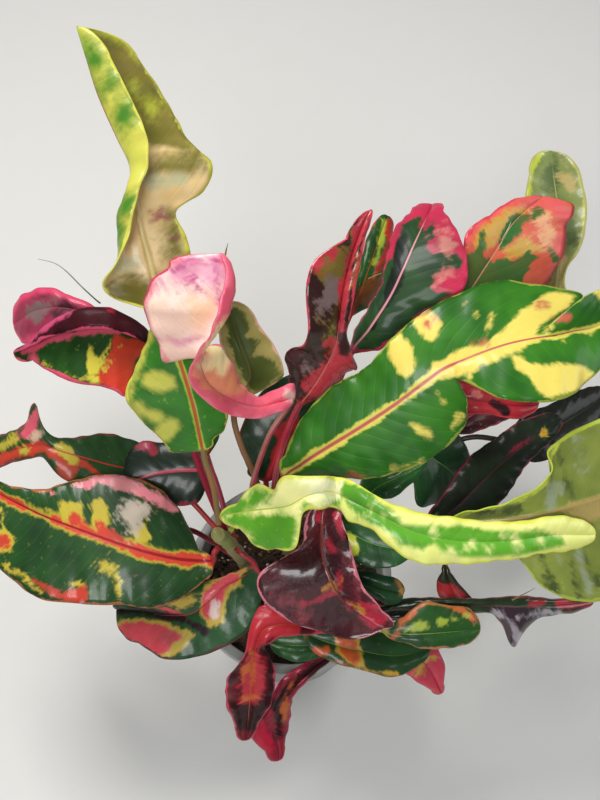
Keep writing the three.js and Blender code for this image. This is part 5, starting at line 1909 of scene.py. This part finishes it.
stem_turns = turns_of(STEM_SIDES)
for seed, (stem, line) in enumerate(STEM_LINES.items()):
    above = smooth(line, np.linspace(0, len(line) - 1, STEM_ROWS))
    across, back, foot_top = line[0]
    levels = np.linspace(STEM_FOOT, foot_top, FOOT_ROWS)[:-1]
    foot = np.array([(across, back, level) for level in levels])
    top_direction = directions(line, np.array([len(line) - 1.0]))[0]
    shares = np.linspace(0, 1, BUD_ROWS)[1:]
    bud = above[-1] + top_direction * (shares * BUD_LENGTH)[:, None]
    centres = np.concatenate([foot, above, bud])
    steps = np.linalg.norm(np.diff(centres, axis=0), axis=1)
    heights = np.concatenate([[0], np.cumsum(steps)])
    shrink = np.ones(len(centres))
    shrink[-len(bud) :] = np.interp(shares, *np.transpose(BUD_SHAPE))
    marks = [0, heights[len(foot)], heights[-1]]
    radius = np.interp(heights, marks, [FOOT_RADIUS, STEM_RADIUS, TOP_RADIUS]) * shrink
    scar, swell = scars_on(heights, stem_turns, seed)
    relief = SWELLING * swell - SCAR_DEPTH * scar + bumps_on(heights, stem_turns, seed)
    radii = radius[:, None] + relief * shrink[:, None]
    young = np.repeat((heights / heights[-1])[:, None], STEM_SIDES, axis=1)
    mesh = tube_mesh(f"{stem}_stem", centres, radii, STEM_SIDES, scar=scar, young=young)
    add_piece(f"{stem}_stem", mesh, bark_material, "bark", f"stem_{stem}")
print("stems:", ", ".join(STEM_LINES))

# %% [markdown]
# ## Soil
# Potting soil is dark peat with chips of bark and a few white grains of perlite. Its top is
# a fine net over the solid's lumpy shape, and many small grains lie on it. They are all in
# one mesh, because a thousand objects would be slow to handle.

# %% Soil finish
soil = Finish("peat")
soil_tint = soil.attribute("tint")
soil_grain = soil.noise(1.6, detail=6, rough=0.7)
soil_clouds = (soil.noise(12) * 4).step(-0.7, 0.7)
soil_colour = soil.mix(soil_clouds, "2b1d15", "463224")
soil_colour = soil.mix((soil_grain * 4).step(0.1, 1.0), soil_colour, "6a5540")
soil_colour = soil.mix(soil_tint.step(0.3, 0.4), soil_colour, "7b5b3e")
soil_colour = soil.mix(soil_tint.step(0.8, 0.9), soil_colour, "d9d5cc")
soil_material = soil.surface(soil_colour, 0.95, soil_grain, reach=0.8)
print("soil finish:", soil_material.name)

# %% Soil body
SOIL_DROP = 13.0
SOIL_LUMP = 1.2
SMALL_LUMP = 0.45
TINY_LUMP = 0.25
SOIL_RINGS = 55
SOIL_SIDES = 180
SOIL_SHOULDER = 2
POT_FLOOR = 2.5
POT_WALL = 1.8
BASE_RADIUS = 44.0
LIP_RADIUS = 65.0
LIP_WIDTH = 6.0
TOUCH_GAP = 0.3
SOIL_TOP = POT_HEIGHT - SOIL_DROP


def outer_radius(height):
    top_radius = LIP_RADIUS - LIP_WIDTH + POT_WALL
    return BASE_RADIUS + (top_radius - BASE_RADIUS) * height / POT_HEIGHT


def inner_radius(height):
    return outer_radius(height) - POT_WALL


def soil_height(across, back):
    """The top of the soil: the solid's broad lumps with small ones added."""
    broad = np.sin(across * 0.19 + 1) * np.cos(back * 0.23 - 2)
    broad = broad + 0.6 * np.sin(across * 0.41 - back * 0.37)
    small = np.sin(across * 1.3 + 2 * np.sin(back * 0.7))
    small = small * np.cos(back * 1.1 + np.sin(across * 0.9))
    tiny = np.sin(across * 3.1 + back * 1.7) * np.sin(back * 2.9 - across * 2.1)
    return SOIL_TOP + SOIL_LUMP * broad + SMALL_LUMP * small + TINY_LUMP * tiny


soil_radius = inner_radius(SOIL_TOP - SOIL_SHOULDER) - TOUCH_GAP
soil_floor = POT_FLOOR + TOUCH_GAP
floor_radius = inner_radius(soil_floor) - TOUCH_GAP
soil_radii = [*np.linspace(0, soil_radius, SOIL_RINGS + 1)[1:], floor_radius]
soil_net = turned([(radius, soil_floor) for radius in soil_radii], SOIL_SIDES)
soil_net[:-1, :, 2] = soil_height(soil_net[:-1, :, 0], soil_net[:-1, :, 1])
soil_ends = [(0, 0, soil_height(0, 0)), (0, 0, soil_floor)]
no_tint = np.zeros(soil_net.shape[:2])
soil_mesh = ring_mesh("soil_body", soil_net, soil_ends, flip=True, tint=no_tint)
add_piece("soil_body", soil_mesh, soil_material, "soil", "soil")
print("soil faces:", len(soil_mesh.polygons))

# %% Chips and grains
GRAIN_COUNT = 1100
GRAIN_SEED = 12
GRAIN_TINTS = (0.0, 0.6, 1.0)
GRAIN_SHARES = (0.62, 0.3, 0.08)
GRAIN_SIZES = (0.5, 1.6)
BIG_SHARE = 0.12
BIG_GRAIN = 1.5
STRETCHES = (0.5, 1.3)
FLATNESS = (1, 1, 0.7)
ROUGHNESS = 0.22
EDGE_MARGIN = 2.5
GRAIN_RISE = 0.3


def grain_shape():
    """A little stone: a cube's corners and the middles of its edges and faces, on a ball."""
    keys = [key for key in itertools.product((-1, 0, 1), repeat=3) if any(key)]
    faces = []
    for axis, side, low, near in itertools.product(range(3), (-1, 1), (-1, 0), (-1, 0)):
        first, second = [other for other in range(3) if other != axis]
        quad = []
        for up, over in ((0, 0), (1, 0), (1, 1), (0, 1)):
            key = [0, 0, 0]
            key[axis], key[first], key[second] = side, low + up, near + over
            quad.append(keys.index(tuple(key)))
        outward = side if axis != 1 else -side
        faces.append(quad if outward > 0 else quad[::-1])
    return unit(np.array(keys, float)), np.array(faces)


grain_random = np.random.default_rng(GRAIN_SEED)
ball_points, ball_faces = grain_shape()
grain_points, grain_faces, grain_tints = [], [], []
for number in range(GRAIN_COUNT):
    reach = (soil_radius - EDGE_MARGIN) * math.sqrt(grain_random.uniform())
    turn = grain_random.uniform(0, 2 * np.pi)
    x, y = reach * math.cos(turn), reach * math.sin(turn)
    size = grain_random.uniform(*GRAIN_SIZES)
    size *= BIG_GRAIN if grain_random.uniform() < BIG_SHARE else 1.0
    stretch = grain_random.uniform(*STRETCHES, 3) * FLATNESS
    rough = 1 + grain_random.uniform(-ROUGHNESS, ROUGHNESS, (len(ball_points), 1))
    spin = grain_random.uniform(0, 2 * np.pi)
    sine, cosine = math.sin(spin), math.cos(spin)
    turning = [(cosine, sine, 0), (-sine, cosine, 0), (0, 0, 1)]
    grain = (ball_points * rough * stretch * size) @ turning
    grain_points.append(grain + [x, y, soil_height(x, y) + GRAIN_RISE * size])
    grain_faces.append(ball_faces + number * len(ball_points))
    tint = GRAIN_TINTS[grain_random.choice(len(GRAIN_TINTS), p=GRAIN_SHARES)]
    grain_tints.extend([tint] * len(ball_points))
grain_mesh = make_mesh(
    "soil_grains",
    np.concatenate(grain_points),
    np.concatenate(grain_faces).tolist(),
    smooth_faces=False,
    tint=grain_tints,
)
add_piece("soil_grains", grain_mesh, soil_material, "soil")
print("grains:", GRAIN_COUNT, "of", len(ball_faces), "faces each")

# %% [markdown]
# ## The nursery pot
# The pot is thin grey plastic with a turned-down lip. Seen between the leaves it is hardly
# more than a pale rim, but from the side it carries the whole plant. It is turned on a
# lathe like the real mould's core: a profile swept round, with rounded edges, a faint step
# under the lip and the drain holes cut through the floor.

# %% Pot finish
plastic = Finish("grey_pot_plastic")
plastic_dust = (plastic.noise(45) * 3).step(-0.6, 1.0)
plastic_grain = plastic.noise(1.2)
plastic_colour = plastic.mix(plastic_dust, "949694", "9f9e9a")
plastic_colour = plastic.mix((plastic_grain * 4).step(0.8, 1.6), plastic_colour, "878580")
plastic_roughness = plastic_dust * 0.14 + 0.38
plastic_material = plastic.surface(plastic_colour, plastic_roughness, plastic_grain, reach=0.06)
print("pot finish:", plastic_material.name)

# %% Pot body
POT_SIDES = 144
LIP_DEPTH = 9.0
LIP_TAPER = 0.6
LIP_ROOT = 0.2
STEP_FOOT = 12
STEP_TOP = 11
STEP_DEPTH = 0.35
EDGE_ROUNDING = 1.2
ROUNDED_SHARE = 0.45
lip_foot = POT_HEIGHT - LIP_DEPTH
lip_skirt = LIP_RADIUS - LIP_TAPER


def rounded(corners, radius, steps=4):
    """A profile with its inner corners rounded off."""
    corners = np.array(corners, float)
    points = [corners[0]]
    for before, corner, after in zip(corners[:-2], corners[1:-1], corners[2:]):
        back, ahead = before - corner, after - corner
        room = min(np.linalg.norm(back), np.linalg.norm(ahead)) * ROUNDED_SHARE
        cut = min(radius, room)
        start, end = corner + unit(back) * cut, corner + unit(ahead) * cut
        for share in np.linspace(0, 1, steps):
            rest = 1 - share
            points.append(rest**2 * start + 2 * share * rest * corner + share**2 * end)
    return np.array([*points, corners[-1]])


pot_corners = [
    (0, 0),
    (BASE_RADIUS, 0),
    (outer_radius(lip_foot - STEP_FOOT), lip_foot - STEP_FOOT),
    (outer_radius(lip_foot - STEP_TOP) + STEP_DEPTH, lip_foot - STEP_TOP),
    (outer_radius(lip_foot) + LIP_ROOT, lip_foot + POT_WALL),
    (lip_skirt - POT_WALL, lip_foot + POT_WALL),
    (lip_skirt - POT_WALL, lip_foot),
    (lip_skirt, lip_foot),
    (LIP_RADIUS, POT_HEIGHT),
    (inner_radius(POT_HEIGHT), POT_HEIGHT),
    (inner_radius(POT_FLOOR), POT_FLOOR),
    (0, POT_FLOOR),
]
pot_net = turned(rounded(pot_corners, EDGE_ROUNDING)[1:-1], POT_SIDES)
pot_mesh = ring_mesh("nursery_pot", pot_net, [(0, 0, 0), (0, 0, POT_FLOOR)])
pot_piece = add_piece("nursery_pot", pot_mesh, plastic_material, "pot", "pot")
print("pot faces:", len(pot_mesh.polygons))

# %% Drain holes
DRAIN_COUNT = 4
DRAIN_RADIUS = 4.0
DRAIN_CIRCLE = 26.0
DRAIN_SIDES = 32
EDGE_ANGLE = math.radians(35)

cutters = []
for hole in range(DRAIN_COUNT):
    turn = (hole + 0.5) * 2 * math.pi / DRAIN_COUNT
    bpy.ops.mesh.primitive_cylinder_add(
        vertices=DRAIN_SIDES,
        radius=DRAIN_RADIUS * MM,
        depth=3 * POT_FLOOR * MM,
        location=(
            DRAIN_CIRCLE * math.cos(turn) * MM,
            DRAIN_CIRCLE * math.sin(turn) * MM,
            POT_FLOOR / 2 * MM,
        ),
    )
    cutters.append(bpy.context.object)
    cut = pot_piece.modifiers.new("drain_hole", "BOOLEAN")
    cut.object = cutters[-1]
    cut.operation = "DIFFERENCE"
    cut.solver = "EXACT"
depsgraph = bpy.context.evaluated_depsgraph_get()
drained_mesh = bpy.data.meshes.new_from_object(pot_piece.evaluated_get(depsgraph))
pot_piece.modifiers.clear()
pot_piece.data = drained_mesh
for cutter in cutters:
    bpy.data.objects.remove(cutter)
pot_piece.modifiers.new("edges", "EDGE_SPLIT").split_angle = EDGE_ANGLE
print("pot faces with drain holes:", len(drained_mesh.polygons))

# %% [markdown]
# ## Threads at the tips
# In some crotons the midrib grows on beyond the blade as a fine thread. Each one is a thin
# tapered tube along a few seen points.

# %% Threads
THREAD_ROWS = 28
THREAD_SIDES = 10
THREAD_TAPER = 0.25
THREADS = {
    "boat_thread": (
        "100 303 100, 95 299 104, 82 287 112, 66 271 116, 54 263 116, 38 259 114", 0.5, "7a8a6a",
    ),
    "scoop_thread": ("224 262 178, 226 251 182, 228 243 186", 0.6, "c9a070"),
    "crimson_thread": ("407 262 76, 409 254 80, 408 245 83, 404 234 84", 0.55, "c8a87a"),
    "narrow_thread": ("352 293 62, 362 283 70, 372 277 73, 382 273 74", 0.6, "c8954a"),
    "coral_thread": ("500 244 72, 504 236 77, 508 229 79, 511 222 80", 0.45, "dcd8b8"),
    "long_thread": ("512 600 72, 520 596 75, 528 592 77, 535 588 78", 0.5, "8a7a4a"),
}
for name, (text, radius, code) in THREADS.items():
    points = seen(rows(text))
    line = smooth(points, np.linspace(0, len(points) - 1, THREAD_ROWS))
    radii = radius * np.linspace(1, THREAD_TAPER, THREAD_ROWS)
    thread = Finish(f"{name}_finish")
    clouds = (thread.noise(6) * 3).step(-0.5, 0.5)
    tone = thread.mix(clouds, code, mixed(code, "4a5a2a", 0.4))
    mesh = tube_mesh(name, line, radii, THREAD_SIDES)
    add_piece(name, mesh, thread.surface(tone, 0.55), "leaf_green")
print("threads:", len(THREADS))
